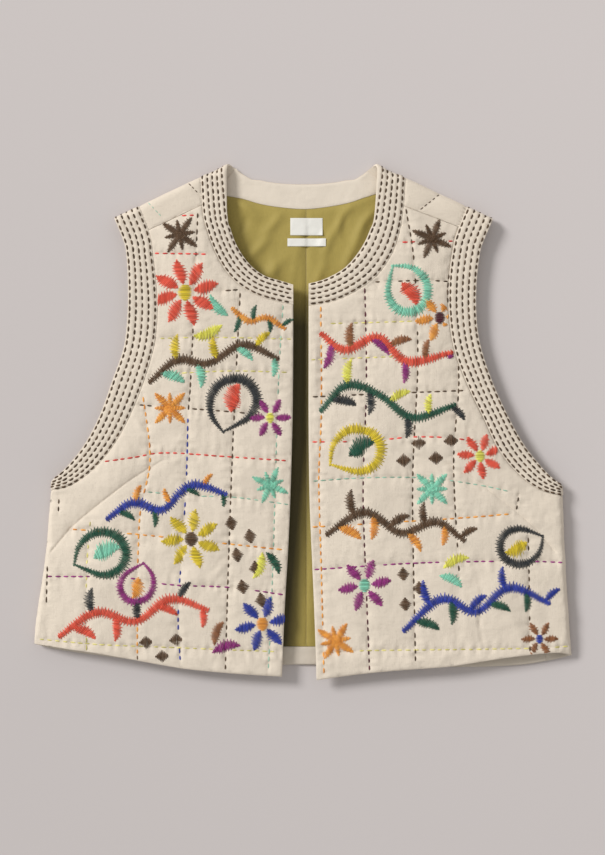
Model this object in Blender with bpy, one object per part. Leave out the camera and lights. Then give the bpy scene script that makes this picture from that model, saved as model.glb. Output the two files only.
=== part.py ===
"""Quilted cotton waistcoat with an open front, laid on its back on a flat surface.

+X is to the right of the garment as seen from above, +Y runs from hem to neck and +Z is up.
Sizes are in millimetres until a mesh is made. Tables of one side hold x measured outwards from
the middle, so that the left and the right of the view read alike.
"""

import math

import bmesh
import bpy
import numpy as np
from mathutils import Vector
from mathutils.geometry import delaunay_2d_cdt

MM = 0.001

ORIGIN = (-0.126, 1.001, 0.0)  # middle of the whole garment in the tables below

# Cloth and seams
WALL = 2.4  # outer cotton, wadding and backing, quilted into one wall
SEAM_GAP = 0.3  # between pieces that are sewn together
LINING_WALL = 1.0
LABEL_WALL = 0.6
FOLD_RADIUS = 5.6  # of the middle of the wall where it turns over at the sides and shoulders
LEFT, RIGHT = -1, 1

# Loft of the fronts over the back
CROWN = 5.0
CROWN_SIDE_RUN = 70.0
CROWN_SHOULDER_RUN = 60.0
CROWN_OPENING_RUN = 55.0
CROWN_OPENING_DIP = 0.35
CROWN_HEM_RUN = 60.0
CROWN_HEM_DIP = 0.4

# Quilting
QUILT_PUFF = 1.2  # height of a cell's middle over its stitching
QUILT_GROOVE = 6.5  # from a line of stitching to the full height
QUILT_STEP = 12.0  # between mesh points along a line
QUILT_FILL = 15.0  # between mesh points inside a cell
QUILT_EDGE_RUN = 9.0  # the puff dies out over this distance from a seam or edge
BAND_RISE = 0.7  # the stitched bands stand this much proud between their edges
DART_DEPTH = 1.0
DART_WIDTH = 4.0

# Outer edge of the garment at the side folds, from the underarm to the hem
SIDE_COLUMNS = ("y", "left_x", "right_x")
SIDE = [
    (-58.0, 261.5, 269.8),
    (-90.0, 264.9, 271.8),
    (-122.0, 267.2, 272.9),
    (-155.0, 271.2, 274.6),
    (-195.0, 277.3, 277.2),
    (-222.0, 280.4, 279.0),
    (-245.0, 280.6, 280.6),
]

# Line of each shoulder fold, from beside the neck band to the armhole's tip
SHOULDER_COLUMNS = ("neck_x", "neck_y", "tip_x", "tip_y")
SHOULDER = {
    LEFT: (107.6, 256.0, 197.1, 213.4),
    RIGHT: (107.6, 255.2, 197.1, 213.0),
}

# Neck band on the front, from the opening up to the shoulder seam, then on the back
BAND_COLUMNS = ("free_x", "free_y", "seam_x", "seam_y")
NECK_FRONT = {
    LEFT: [
        (10.2, 143.5, 10.2, 122.7),
        (24.0, 147.6, 31.0, 127.2),
        (39.5, 152.4, 50.5, 133.6),
        (52.5, 161.4, 67.5, 144.2),
        (62.4, 173.4, 81.0, 158.8),
        (70.2, 187.2, 92.0, 179.0),
        (75.4, 202.0, 100.6, 202.4),
        (78.8, 219.0, 105.0, 226.2),
    ],
    RIGHT: [
        (5.8, 144.6, 5.8, 121.7),
        (18.2, 147.6, 26.0, 124.4),
        (30.4, 152.8, 44.2, 131.0),
        (42.5, 160.2, 61.0, 140.4),
        (53.2, 171.2, 76.5, 152.6),
        (62.0, 184.0, 88.5, 168.6),
        (69.2, 199.4, 97.6, 189.2),
        (74.4, 219.0, 104.6, 225.4),
    ],
}
NECK_BACK = [
    (63.0, 259.4, 87.0, 242.6),
    (44.6, 253.0, 56.0, 228.6),
    (23.0, 249.7, 28.0, 223.2),
]
NECK_BACK_MIDDLE = (0.0, 248.8, 0.0, 221.8)

# Armhole band on the front, from the shoulder seam down to the side fold
ARMHOLE_FRONT = {
    LEFT: [
        (188.4, 193.0, 160.8, 200.2),
        (184.2, 176.0, 156.6, 176.8),
        (182.4, 148.0, 153.4, 150.0),
        (182.8, 112.0, 151.4, 116.0),
        (186.6, 78.0, 154.8, 80.0),
        (198.1, 44.7, 165.6, 43.0),
        (211.0, 9.0, 179.6, 8.0),
        (226.0, -20.6, 195.6, -21.6),
        (242.2, -42.0, 216.6, -47.6),
        (254.4, -54.0, 241.0, -65.0),
    ],
    RIGHT: [
        (188.8, 190.6, 162.0, 203.6),
        (184.0, 174.0, 155.8, 182.0),
        (180.8, 146.0, 151.6, 150.0),
        (180.6, 112.0, 151.4, 114.0),
        (184.8, 80.0, 157.0, 76.0),
        (197.0, 43.0, 170.6, 39.6),
        (213.4, 6.8, 187.2, 5.4),
        (229.4, -22.0, 203.4, -28.4),
        (245.6, -43.0, 224.0, -53.6),
        (258.6, -56.6, 246.0, -69.6),
    ],
}
UNDERARM_COLUMNS = ("free_y", "seam_y")
UNDERARM = {LEFT: (-61.0, -71.0), RIGHT: (-66.5, -77.0)}
ARMHOLE_BACK_INSET = 1.5  # the back's armhole lies just inside the front's

# Centre front edges, from the neck band down to the hem
OPENING_COLUMNS = ("y", "left_x", "right_x")
OPENING = [
    (144.0, 10.2, 5.8),
    (76.0, 10.2, 5.8),
    (0.0, 10.9, 5.8),
    (-80.0, 13.2, 6.8),
    (-132.0, 15.4, 8.9),
    (-194.0, 19.0, 11.6),
    (-268.0, 22.0, 14.2),
]

# Hems, from the opening to the side fold
HEM_COLUMNS = ("x", "y")
FRONT_HEM = {
    LEFT: [
        (21.8, -264.4),
        (54.6, -262.4),
        (96.2, -259.0),
        (127.4, -255.6),
        (160.0, -249.8),
        (210.6, -240.6),
        (243.0, -236.2),
        (265.0, -232.6),
    ],
    RIGHT: [
        (14.0, -268.0),
        (59.8, -261.6),
        (101.4, -257.6),
        (143.0, -254.8),
        (166.0, -252.0),
        (205.4, -245.6),
        (247.0, -240.6),
        (268.0, -239.6),
    ],
}
BACK_HEM = [
    (-265.0, -235.4),
    (-240.0, -239.6),
    (-200.0, -245.0),
    (-150.0, -251.0),
    (-100.0, -253.4),
    (0.0, -252.8),
    (100.0, -254.4),
    (174.0, -255.4),
    (216.0, -254.0),
    (240.0, -251.6),
    (268.0, -246.4),
]
SIDE_HEM_Y = {LEFT: -230.6, RIGHT: -242.6}

# Lines of quilting on the fronts: those that run down, from the opening outwards, then those across
QUILTING_COLUMNS = ("x", "y")
QUILTING = {
    LEFT: [
        [(20.5, 124.0), (25.7, 32.0), (31.7, -163.0), (36.2, -263.0)],
        [(65.0, 137.0), (71.4, 9.0), (75.8, -100.0), (80.8, -260.0)],
        [(109.2, 218.0), (115.8, 60.0), (121.6, -72.0), (129.4, -196.0), (127.0, -256.0)],
        [(166.6, 30.0), (158.8, -40.0), (170.0, -107.0), (172.2, -246.0)],
        [(219.6, -88.0), (224.7, -155.0), (225.0, -239.0)],
        [(253.9, -76.0), (260.5, -118.0), (267.0, -170.0), (266.0, -232.0)],
        [(160.0, 213.0), (108.0, 214.6)],
        [(156.0, 175.0), (100.0, 173.8)],
        [(153.0, 132.0), (66.0, 137.0)],
        [(152.0, 86.4), (92.0, 87.4), (10.0, 85.6)],
        [(163.0, 48.0), (80.0, 52.4), (10.0, 51.0)],
        [(180.0, 18.0), (67.3, 9.5), (11.0, 3.5)],
        [(216.0, -43.0), (174.0, -37.0), (142.4, -32.5), (71.7, -37.0), (12.0, -41.0)],
        [(240.0, -71.0), (172.0, -72.0), (118.2, -77.0), (71.7, -78.6), (13.5, -86.4)],
        [(266.0, -109.0), (168.5, -117.5), (73.5, -127.4), (15.0, -133.9)],
        [(274.0, -161.0), (187.0, -162.0), (138.7, -169.3), (77.3, -172.1), (19.0, -180.0)],
        [(278.0, -226.0), (215.0, -231.5), (142.4, -234.5), (21.5, -239.4)],
    ],
    RIGHT: [
        [(18.6, 122.0), (19.2, 12.0), (16.6, -60.0), (19.0, -150.0), (22.0, -266.0)],
        [(64.1, 143.0), (65.9, 41.0), (62.4, -73.0), (66.1, -181.0), (69.2, -260.0)],
        [(107.0, 222.0), (115.6, 162.0), (119.1, 60.0), (113.8, -69.0), (117.0, -256.0)],
        [(153.7, 170.0), (150.6, 123.0), (162.0, 50.0), (156.4, -44.0), (162.6, -252.0)],
        [(224.4, -75.0), (234.3, -109.0), (236.1, -241.0)],
        [(93.0, 186.0), (157.0, 187.7)],
        [(64.0, 144.7), (125.0, 146.5), (155.0, 145.6)],
        [(28.0, 101.8), (94.0, 103.5), (152.0, 106.0)],
        [(6.0, 64.0), (87.0, 67.1), (158.0, 69.3)],
        [(6.0, 25.5), (64.5, 28.2), (163.3, 32.1), (174.0, 33.0)],
        [(6.5, -21.3), (63.9, -20.3), (116.0, -16.1), (158.9, -17.6), (200.0, -26.0)],
        [(6.8, -62.2), (62.0, -58.5), (127.2, -58.5), (183.0, -66.0), (236.0, -76.0)],
        [(7.6, -109.7), (147.7, -101.3), (216.6, -95.8), (270.0, -99.0)],
        [(9.6, -154.0), (116.0, -147.0), (216.6, -145.1), (273.0, -146.6)],
        [(13.5, -241.9), (58.3, -238.2), (116.0, -237.3), (227.7, -236.0), (276.0, -234.0)],
    ],
}
# The back's own lines, where it comes over the shoulders
SHOULDER_QUILTING = {
    LEFT: [[(168.0, 234.0), (145.2, 210.0)], [(124.0, 254.0), (105.0, 231.6)]],
    RIGHT: [[(150.0, 243.0), (117.0, 216.0)]],
}

# Dart of each front, from its point out to the side
DART_COLUMNS = ("x", "y")
DART = [(146.0, -41.0), (180.0, -62.0), (214.0, -88.0), (240.0, -110.0), (262.0, -136.0)]

# Soft folds of the fronts: a line, how wide, and how high (negative for a trough)
FOLD_COLUMNS = ("x1", "y1", "x2", "y2", "width", "height")
FOLDS = [
    (-143.0, -38.0, -95.0, -6.0, 11.0, 1.3),
    (-92.0, -112.0, -124.0, -190.0, 13.0, 1.7),
    (-118.0, -104.0, -146.0, -170.0, 11.0, -1.2),
    (-232.0, -78.0, -190.0, -38.0, 10.0, 1.2),
    (-252.0, -150.0, -205.0, -205.0, 14.0, 1.4),
    (-60.0, 60.0, -40.0, -40.0, 16.0, -1.2),
    (150.0, -36.0, 112.0, 18.0, 9.0, 1.6),
    (146.0, -44.0, 92.0, -22.0, 10.0, -1.3),
    (158.0, -30.0, 142.0, 40.0, 10.0, 1.2),
    (186.0, -182.0, 188.0, -232.0, 6.0, -1.0),
    (230.0, -150.0, 180.0, -214.0, 14.0, 1.5),
    (60.0, -120.0, 96.0, -212.0, 15.0, 1.2),
    (126.0, 120.0, 132.0, 60.0, 13.0, -1.1),
    (-120.0, 150.0, -128.0, 84.0, 13.0, 1.0),
]

# Neck facing, lining and labels
FACING_LOWER_EDGE = [
    (-92.0, 238.6),
    (-65.0, 234.0),
    (-44.0, 228.0),
    (-23.0, 224.6),
    (2.6, 222.8),
    (28.6, 225.6),
    (49.4, 229.8),
    (64.5, 235.0),
    (92.0, 243.0),
]
LINING_SEAM_X = 3.2
LINING_SIDE_INSET = 14.0
LINING_SHOULDER_INSET = 16.0
LINING_PLEAT_WIDTH = 9.0
LINING_PLEAT_HEIGHT = 2.2
LINING_PLEAT_OFFSET = 9.0
HEM_FACING_TOP = -234.0
LABELS_COLUMNS = ("name", "x", "y", "width", "height")
LABELS = [
    ("label_main", 3.6, 204.4, 33.6, 18.0),
    ("label_care", 3.8, 188.0, 40.0, 8.2),
]

# Spacing of mesh points
SEAM_STEP = 10.0
FOLD_STEP = 3.4
BACK_STEP = 36.0
LINING_STEP = 24.0
BAND_COLUMNS_ACROSS = (0.0, 0.14, 0.86, 1.0)

# Worked out from the sizes above
MIDDLE_LOW = WALL / 2
MIDDLE_FOLD = MIDDLE_LOW + FOLD_RADIUS
MIDDLE_TOP = MIDDLE_LOW + 2 * FOLD_RADIUS
QUARTER = math.pi / 2 * FOLD_RADIUS
ROLL_EXTRA = QUARTER - FOLD_RADIUS  # a quarter roll takes this much more cloth than its plan
LINING_MIDDLE = WALL + SEAM_GAP + LINING_WALL / 2
HALF_GAP = SEAM_GAP / 2


def smooth(points, per_span):
    """A Catmull-Rom curve through the points. per_span is a number, or a list, one for each span."""
    p = np.asarray(points, float)
    spans = len(p) - 1
    counts = per_span if isinstance(per_span, (list, tuple)) else [per_span] * spans
    p = np.vstack([2 * p[0] - p[1], p, 2 * p[-1] - p[-2]])
    out = []
    for i, count in enumerate(counts):
        a, b, c, d = p[i : i + 4]
        t = np.linspace(0, 1, count, endpoint=False)[:, None]
        out.append(
            0.5
            * (
                2 * b
                + (c - a) * t
                + (2 * a - 5 * b + 4 * c - d) * t**2
                + (3 * b - a - 3 * c + d) * t**3
            )
        )
    return np.vstack([*out, p[-2][None]])


def ease(value, low, high):
    """0 below low, 1 above high and a smooth step between."""
    t = np.clip((value - low) / (high - low), 0, 1)
    return t * t * (3 - 2 * t)


def curve_value(x, rows, column):
    """The smooth curve of a table's column over its first column."""
    path = smooth([(r[0], r[column]) for r in rows], 6)
    path = path[np.argsort(path[:, 0])]
    return np.interp(x, path[:, 0], path[:, 1])


def side_edge(side, y):
    """How far out the middle of the wall lies at the side fold, which ends at the underarm."""
    return curve_value(y, SIDE, 1 if side == LEFT else 2) - WALL / 2


def outer_edge(side, y):
    """The garment's outer edge at any height: the armhole above the underarm, the side fold below."""
    armhole = [(r[1], r[0]) for r in ARMHOLE_FRONT[side]]
    rows = sorted(armhole + [(r[0], r[1 if side == LEFT else 2]) for r in SIDE])
    return np.interp(y, [r[0] for r in rows], [r[1] for r in rows])


def shoulder_line(side):
    """A point of the shoulder fold, where the wall turns, and the normal into the garment."""
    neck_x, neck_y, tip_x, tip_y = SHOULDER[side]
    along = np.array([side * (tip_x - neck_x), tip_y - neck_y])
    along /= np.linalg.norm(along)
    inward = np.array([along[1], -along[0]]) * side
    point = np.array([side * neck_x, neck_y]) + inward * WALL / 2
    return point, inward


def soft_folds(x, y):
    """Height of the soft folds at points of the fronts."""
    total = np.zeros_like(x)
    for x1, y1, x2, y2, width, height in FOLDS:
        dx, dy = x2 - x1, y2 - y1
        length2 = dx * dx + dy * dy
        t = np.clip(((x - x1) * dx + (y - y1) * dy) / length2, 0, 1)
        off = np.hypot(x - x1 - t * dx, y - y1 - t * dy)
        total += height * np.exp(-((off / width) ** 2)) * np.sin(np.pi * (0.12 + 0.76 * t))
    return total


def crown(x, y):
    """Rise of the front layer over the height of its folded edges."""
    rise = np.zeros_like(x)
    for side in (LEFT, RIGHT):
        here = x * side >= 0
        out = np.abs(x)
        point, inward = shoulder_line(side)
        inset = (x - point[0]) * inward[0] + (y - point[1]) * inward[1]
        from_side = outer_edge(side, y) - out - FOLD_RADIUS
        opening = curve_value(y, OPENING, 1 if side == LEFT else 2)
        from_hem = y - curve_value(out, FRONT_HEM[side], 1)
        shape = ease(from_side, 0, CROWN_SIDE_RUN) * ease(inset, FOLD_RADIUS, CROWN_SHOULDER_RUN)
        dip = 1 - CROWN_OPENING_DIP * (1 - ease(out - opening, 0, CROWN_OPENING_RUN))
        dip *= 1 - CROWN_HEM_DIP * (1 - ease(from_hem, 0, CROWN_HEM_RUN))
        fade = ease(from_side, 0, 18) * ease(inset, FOLD_RADIUS, 30)
        rise = np.where(here, CROWN * shape * dip + soft_folds(x, y) * fade, rise)
    return np.maximum(rise, 0.0)


def side_roll(x, y, up):
    """Lays flat cloth over the side fold: up is 1 on the front layer and -1 on the back."""
    out_x, height = x.copy(), np.full_like(x, MIDDLE_TOP if up > 0 else MIDDLE_LOW)
    if up > 0:
        height = height + crown(x, y)
    for side in (LEFT, RIGHT):
        edge = side_edge(side, y)
        cloth = edge + ROLL_EXTRA - x * side
        angle = cloth / FOLD_RADIUS
        rolled = (x * side > 0) & (cloth < QUARTER)
        out_x = np.where(rolled, side * (edge - FOLD_RADIUS * (1 - np.cos(angle))), out_x)
        height = np.where(rolled, MIDDLE_FOLD + up * FOLD_RADIUS * np.sin(angle), height)
    return np.stack([out_x, y, height], axis=1)


def front_layer(flat):
    """Points of the front layer's middle surface."""
    return side_roll(flat[:, 0], flat[:, 1], 1)


def back_layer(flat):
    """Points of the back's middle surface, which goes over the shoulders onto the front layer."""
    x, y = flat[:, 0], flat[:, 1]
    result = side_roll(x, y, -1)
    for side in (LEFT, RIGHT):
        point, inward = shoulder_line(side)
        across = (x - point[0]) * inward[0] + (y - point[1]) * inward[1]
        cloth = across + ROLL_EXTRA
        here = (x * side > 0) & (cloth < QUARTER)
        angle = np.clip(cloth / FOLD_RADIUS, -math.pi / 2, math.pi / 2)
        over = np.maximum(-cloth - QUARTER, 0.0)
        inset = FOLD_RADIUS * (1 - np.cos(angle)) + over
        plan_x = x + inward[0] * (inset - across)
        plan_y = y + inward[1] * (inset - across)
        turned = np.stack([plan_x, plan_y, MIDDLE_FOLD - FOLD_RADIUS * np.sin(angle)], axis=1)
        on_top = side_roll(plan_x, plan_y, 1)
        turned = np.where((cloth < -QUARTER)[:, None], on_top, turned)
        result = np.where(here[:, None], turned, result)
    return result


def unrolled(points, side):
    """Where points of the front layer lie when the back is opened out flat over the shoulder."""
    p = np.asarray(points, float)
    point, inward = shoulder_line(side)
    inset = (p - point) @ inward
    folded = -FOLD_RADIUS * np.arccos(np.clip(1 - inset / FOLD_RADIUS, -1, 1))
    cloth = np.where(inset >= FOLD_RADIUS, -(inset - FOLD_RADIUS + QUARTER), folded)
    return p + np.outer(cloth - ROLL_EXTRA - inset, inward)


def over_shoulder(flat):
    """0 on the back and 1 from the top of the shoulder fold on."""
    share = np.zeros(len(flat))
    for side in (LEFT, RIGHT):
        point, inward = shoulder_line(side)
        over = -((flat - point) @ inward + ROLL_EXTRA)
        share += np.where(flat[:, 0] * side > 0, ease(over, 0, QUARTER), 0)
    return share


def normals(layer, flat, outward):
    """Unit normals of a layer, by small steps in the flat cloth."""
    step = 0.02
    du = layer(flat + (step, 0)) - layer(flat - (step, 0))
    dv = layer(flat + (0, step)) - layer(flat - (0, step))
    n = np.cross(du, dv) * outward
    return n / np.linalg.norm(n, axis=1)[:, None]


def inside(polygon, points):
    """True for each point that the polygon holds."""
    x, y = points[:, 0][:, None], points[:, 1][:, None]
    ax, ay = polygon[:, 0][None], polygon[:, 1][None]
    bx, by = np.roll(polygon, -1, 0)[:, 0][None], np.roll(polygon, -1, 0)[:, 1][None]
    spans = (ay > y) != (by > y)
    slope = np.where(by == ay, 1e-9, by - ay)
    crosses = spans & (x < ax + (y - ay) * (bx - ax) / slope)
    return crosses.sum(1) % 2 == 1


def distance_to(path, points, closed=True):
    """Distance of each point from a path."""
    a = path if closed else path[:-1]
    b = np.roll(path, -1, 0) if closed else path[1:]
    ab = b - a
    ap = points[:, None] - a[None]
    t = np.clip((ap * ab).sum(2) / np.maximum((ab * ab).sum(1), 1e-9), 0, 1)
    return np.linalg.norm(ap - t[..., None] * ab, axis=2).min(1)


def panel_faces(outline, points, margin):
    """Triangles over an outline and the points inside it: (flat points, faces)."""
    keep = inside(outline, points) & (distance_to(outline, points) > margin)
    every = np.vstack([outline, points[keep]])
    ring = [(i, (i + 1) % len(outline)) for i in range(len(outline))]
    made = delaunay_2d_cdt([Vector(p) for p in every], ring, [], 0, 1e-4)
    flat = np.array([tuple(v) for v in made[0]])
    faces = [tuple(f) for f in made[2]]
    centres = np.array([flat[list(f)].mean(0) for f in faces])
    held = inside(outline, centres)
    faces = [f for f, h in zip(faces, held) if h]
    used = sorted({i for f in faces for i in f})
    place = {old: new for new, old in enumerate(used)}
    return flat[used], [tuple(place[i] for i in f) for f in faces]


def grid_points(xs, ys):
    """All crossings of two sets of lines."""
    return np.array([(x, y) for x in xs for y in ys])


def thinned(points, kept, spacing):
    """The kept points, and those of the others that stay clear of all before them."""
    chosen = [tuple(p) for p in kept]
    for p in points:
        off = np.array(chosen) - p if chosen else np.full((1, 2), spacing)
        if (off**2).sum(1).min() >= spacing**2:
            chosen.append(tuple(p))
    return np.array(chosen)


def to_nearest(lines, points):
    """Distance of each point from the nearest of the lines."""
    return np.min([distance_to(line, points, closed=False) for line in lines], axis=0)


def quilting(lines, points):
    """Height of the puffed cells over their stitching."""
    return QUILT_PUFF * ease(to_nearest(lines, points), 0, QUILT_GROOVE)


def stitched_lines(rows, side):
    """Lines of quilting as smooth paths."""
    paths = []
    for row in rows:
        signed = [(side * x, y) for x, y in row]
        paths.append(smooth(signed, spans_of(signed, QUILT_STEP)))
    return paths


def cloth_object(name, flat, faces, layer, outward, wall, relief, colour, roughness):
    """A closed wall of cloth over flat points: a plain inner side and a raised outer side."""
    middle = layer(flat)
    away = normals(layer, flat, outward)
    outer = middle + away * (wall / 2 + relief)[:, None]
    inner = middle - away * (wall / 2)
    count = len(flat)
    edges = {}
    for f in faces:
        for a, b in zip(f, f[1:] + f[:1]):
            edges[(a, b)] = True
    rim = [(a, b) for a, b in edges if (b, a) not in edges]
    up = [f if outward > 0 else f[::-1] for f in faces]
    down = [tuple(i + count for i in f[::-1]) for f in up]
    turned = rim if outward > 0 else [(b, a) for a, b in rim]
    walls = [(b, a, a + count, b + count) for a, b in turned]
    mesh = bpy.data.meshes.new(name)
    points = (np.vstack([outer, inner]) - ORIGIN) * MM
    mesh.from_pydata(points.tolist(), [], up + down + walls)
    finish(name, mesh, colour, roughness)


def finish(name, mesh, colour, roughness):
    """Checks a piece's normals, shades it and puts it in the garment's collection."""
    bm = bmesh.new()
    bm.from_mesh(mesh)
    bmesh.ops.remove_doubles(bm, verts=bm.verts, dist=1e-7)
    bmesh.ops.recalc_face_normals(bm, faces=bm.faces)
    bm.to_mesh(mesh)
    bm.free()
    mesh.shade_smooth()
    mesh.set_sharp_from_angle(angle=math.radians(50))
    material = bpy.data.materials.new(name)
    material.use_nodes = True
    shader = material.node_tree.nodes["Principled BSDF"]
    shader.inputs["Base Color"].default_value = (*colour, 1.0)
    shader.inputs["Roughness"].default_value = roughness
    shader.inputs["Metallic"].default_value = 0.0
    mesh.materials.append(material)
    bpy.data.collections[COLLECTION].objects.link(bpy.data.objects.new(name, mesh))


COLLECTION = "waistcoat"
ECRU = (0.74, 0.69, 0.60)
OLIVE = (0.33, 0.28, 0.07)
WHITE = (0.80, 0.80, 0.78)
COTTON_ROUGHNESS = 0.9
LINING_ROUGHNESS = 0.65


def spans_of(points, step):
    """How many steps each span of a path takes."""
    p = np.asarray(points, float)
    return [max(1, round(np.linalg.norm(b - a) / step)) for a, b in zip(p, p[1:])]


def mirrored(rows, side):
    """Band rows with x turned to the side's own sign."""
    return [(side * fx, fy, side * sx, sy) for fx, fy, sx, sy in rows]


def band_track(rows, fold_spans):
    """Free and seam edges of a band as smooth paths with matching stations, finer over a fold."""
    rows = np.asarray(rows, float)
    counts = []
    for i, (a, b) in enumerate(zip(rows, rows[1:])):
        step = FOLD_STEP if i in fold_spans else SEAM_STEP
        length = max(np.linalg.norm(b[:2] - a[:2]), np.linalg.norm(b[2:] - a[2:]))
        counts.append(max(1, round(length / step)))
    stations = np.concatenate([[0], np.cumsum(counts)])
    return smooth(rows[:, :2], counts), smooth(rows[:, 2:], counts), stations


def flat_front_rows(rows, side):
    """Rows of a band on the front, opened out over the shoulder."""
    signed = np.array(mirrored(rows, side))
    return np.hstack([unrolled(signed[:, :2], side), unrolled(signed[:, 2:], side)])


def neck_track():
    """The whole neck band, from the left opening over the back to the right one."""
    left = flat_front_rows(NECK_FRONT[LEFT], LEFT)
    right = flat_front_rows(NECK_FRONT[RIGHT], RIGHT)[::-1]
    back_left = mirrored(NECK_BACK, LEFT)
    back_right = mirrored(NECK_BACK[::-1], RIGHT)
    rows = np.vstack([left, back_left, [NECK_BACK_MIDDLE], back_right, right])
    left_fold = len(left) - 1
    right_fold = len(left) + 2 * len(NECK_BACK)
    free, seam, stations = band_track(rows, (left_fold, right_fold))
    return free, seam, int(stations[left_fold]), int(stations[right_fold + 1])


def armhole_track(side):
    """One armhole band, from the side fold up the front, over the shoulder and down the back."""
    free_y, seam_y = UNDERARM[side]
    free_x = float(side_edge(side, free_y)) + ROLL_EXTRA - HALF_GAP
    seam_x = float(side_edge(side, seam_y)) + ROLL_EXTRA - HALF_GAP
    end = (free_x, free_y, seam_x, seam_y)
    front = flat_front_rows([end, *ARMHOLE_FRONT[side][::-1]], side)
    inset = np.array((ARMHOLE_BACK_INSET, 0.0, ARMHOLE_BACK_INSET, 0.0))
    back = [tuple(row - inset) for row in np.array(ARMHOLE_FRONT[side])]
    rows = np.vstack([front, mirrored([*back, end], side)])
    fold = len(front) - 1
    free, seam, stations = band_track(rows, (0, fold, len(rows) - 2))
    return free, seam, int(stations[fold])


def offset_path(path, amount):
    """An open path moved to its left by the amount."""
    along = np.gradient(path, axis=0)
    along /= np.linalg.norm(along, axis=1)[:, None]
    return path + np.stack([-along[:, 1], along[:, 0]], axis=1) * amount


def band_object(name, free, seam, toward_seam):
    """A stitched band between its free edge and its seam."""
    seam = offset_path(seam, -toward_seam * HALF_GAP)
    across = len(BAND_COLUMNS_ACROSS)
    flat = np.vstack([free + (seam - free) * s for s in BAND_COLUMNS_ACROSS])
    share = np.repeat([0.0 if s in (0.0, 1.0) else 1.0 for s in BAND_COLUMNS_ACROSS], len(free))
    rise = BAND_RISE * share * over_shoulder(flat)
    rows = len(free)
    faces = []
    for j in range(across - 1):
        for i in range(rows - 1):
            a, b = j * rows + i, j * rows + i + 1
            c, d = b + rows, a + rows
            faces.append((a, b, c, d) if toward_seam > 0 else (a, d, c, b))
    cloth_object(name, flat, faces, back_layer, -1, WALL, rise, ECRU, COTTON_ROUGHNESS)


def front_on_plan(path, side):
    """Opened-out points that lie on the front layer, back in its plan."""
    point, inward = shoulder_line(side)
    across = (path - point) @ inward
    cloth = across + ROLL_EXTRA
    inset = FOLD_RADIUS + (-cloth - QUARTER)
    return path + np.outer(inset - across, inward)


def front_outline(side, neck_seam, armhole_seam):
    """The outline of a front in the flat, anticlockwise when seen from above."""
    hem = smooth([(side * x, y) for x, y in FRONT_HEM[side]], 2)
    corner_y = SIDE_HEM_Y[side]
    seam_y = float(armhole_seam[-1][1]) if len(armhole_seam) else 0.0
    ys = np.linspace(corner_y, seam_y - HALF_GAP, 16)
    xs = side * (side_edge(side, ys) + ROLL_EXTRA - HALF_GAP)
    side_path = np.stack([xs, ys], axis=1)
    top = neck_seam[0]
    opening_y = np.linspace(top[1], float(hem[0][1]), 26)[1:-1]
    opening = curve_value(opening_y, OPENING, 1 if side == LEFT else 2)
    opening_path = np.stack([side * opening, opening_y], axis=1)
    inward = shoulder_line(side)[1]
    armhole_seam = np.vstack([armhole_seam[:1] + inward * HALF_GAP, armhole_seam[1:]])
    neck_seam = np.vstack([neck_seam[:-1], neck_seam[-1:] + inward * HALF_GAP])
    ring = [hem, side_path, armhole_seam[::-1], shoulder_join(armhole_seam[0], neck_seam[-1])]
    ring += [neck_seam[::-1], opening_path]
    outline = np.vstack(ring)
    return outline if side == RIGHT else outline[::-1]


def shoulder_join(a, b):
    """Points between the two ends of the shoulder seam."""
    t = np.linspace(0, 1, max(2, round(np.linalg.norm(b - a) / SEAM_STEP)) + 1)[1:-1, None]
    return a + (b - a) * t


def fold_rows(side, low, high):
    """Points in rows along the side roll, so that it is round."""
    ys = np.arange(low, high, SEAM_STEP)
    rows = []
    for share in (1 / 3, 2 / 3, 1.0):
        xs = side_edge(side, ys) + ROLL_EXTRA - share * QUARTER
        rows.append(np.stack([side * xs, ys], axis=1))
    return np.vstack(rows)


def make_fronts(neck_free_seam, armholes):
    """Both fronts, quilted, each with its dart."""
    free, seam, left_end, right_start = neck_free_seam
    for side, name in ((LEFT, "front_left"), (RIGHT, "front_right")):
        neck = seam[: left_end + 1] if side == LEFT else seam[right_start:][::-1]
        neck = front_on_plan(neck, side)
        armhole = front_on_plan(armholes[side][1][: armholes[side][2] + 1], side)[::-1]
        neck = offset_path(neck, -side * HALF_GAP)
        armhole = offset_path(armhole, -side * HALF_GAP)
        outline = front_outline(side, neck, armhole)
        lines = stitched_lines(QUILTING[side], side)
        dart = smooth([(side * x, y) for x, y in DART], 4)
        fixed = [offset_path(dart, DART_WIDTH), dart, offset_path(dart, -DART_WIDTH)]
        underarm = float(armhole[-1][1])
        fixed.append(fold_rows(side, SIDE_HEM_Y[side] + SEAM_STEP, underarm - SEAM_STEP))
        beside = [offset_path(line, off) for off in (-QUILT_GROOVE, QUILT_GROOVE) for line in lines]
        fill = grid_points(np.arange(-278, 279, QUILT_FILL), np.arange(-262, 232, QUILT_FILL))
        fill = fill[(fill[:, 0] * side > 0) & (to_nearest(lines, fill) > 1.4 * QUILT_GROOVE)]
        points = np.vstack([*lines, *beside, fill])
        clear = distance_to(dart, points, closed=False) > 1.6 * DART_WIDTH
        clear &= points[:, 0] * side < side_edge(side, points[:, 1]) - FOLD_RADIUS - 3.0
        points = thinned(points[clear], np.vstack(fixed), 4.6)
        flat, faces = panel_faces(outline, points, 3.0)
        relief = quilting(lines, flat) * ease(distance_to(outline, flat), 0, QUILT_EDGE_RUN)
        off_dart = distance_to(dart, flat, closed=False)
        relief = np.minimum(relief, QUILT_PUFF * ease(off_dart, 0, DART_WIDTH * 2))
        dart_share = (1 - ease(off_dart, 0, DART_WIDTH)) * ease(distance_to(outline, flat), 0, 6)
        relief -= DART_DEPTH * dart_share
        cloth_object(name, flat, faces, front_layer, 1, WALL, relief, ECRU, COTTON_ROUGHNESS)


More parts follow.
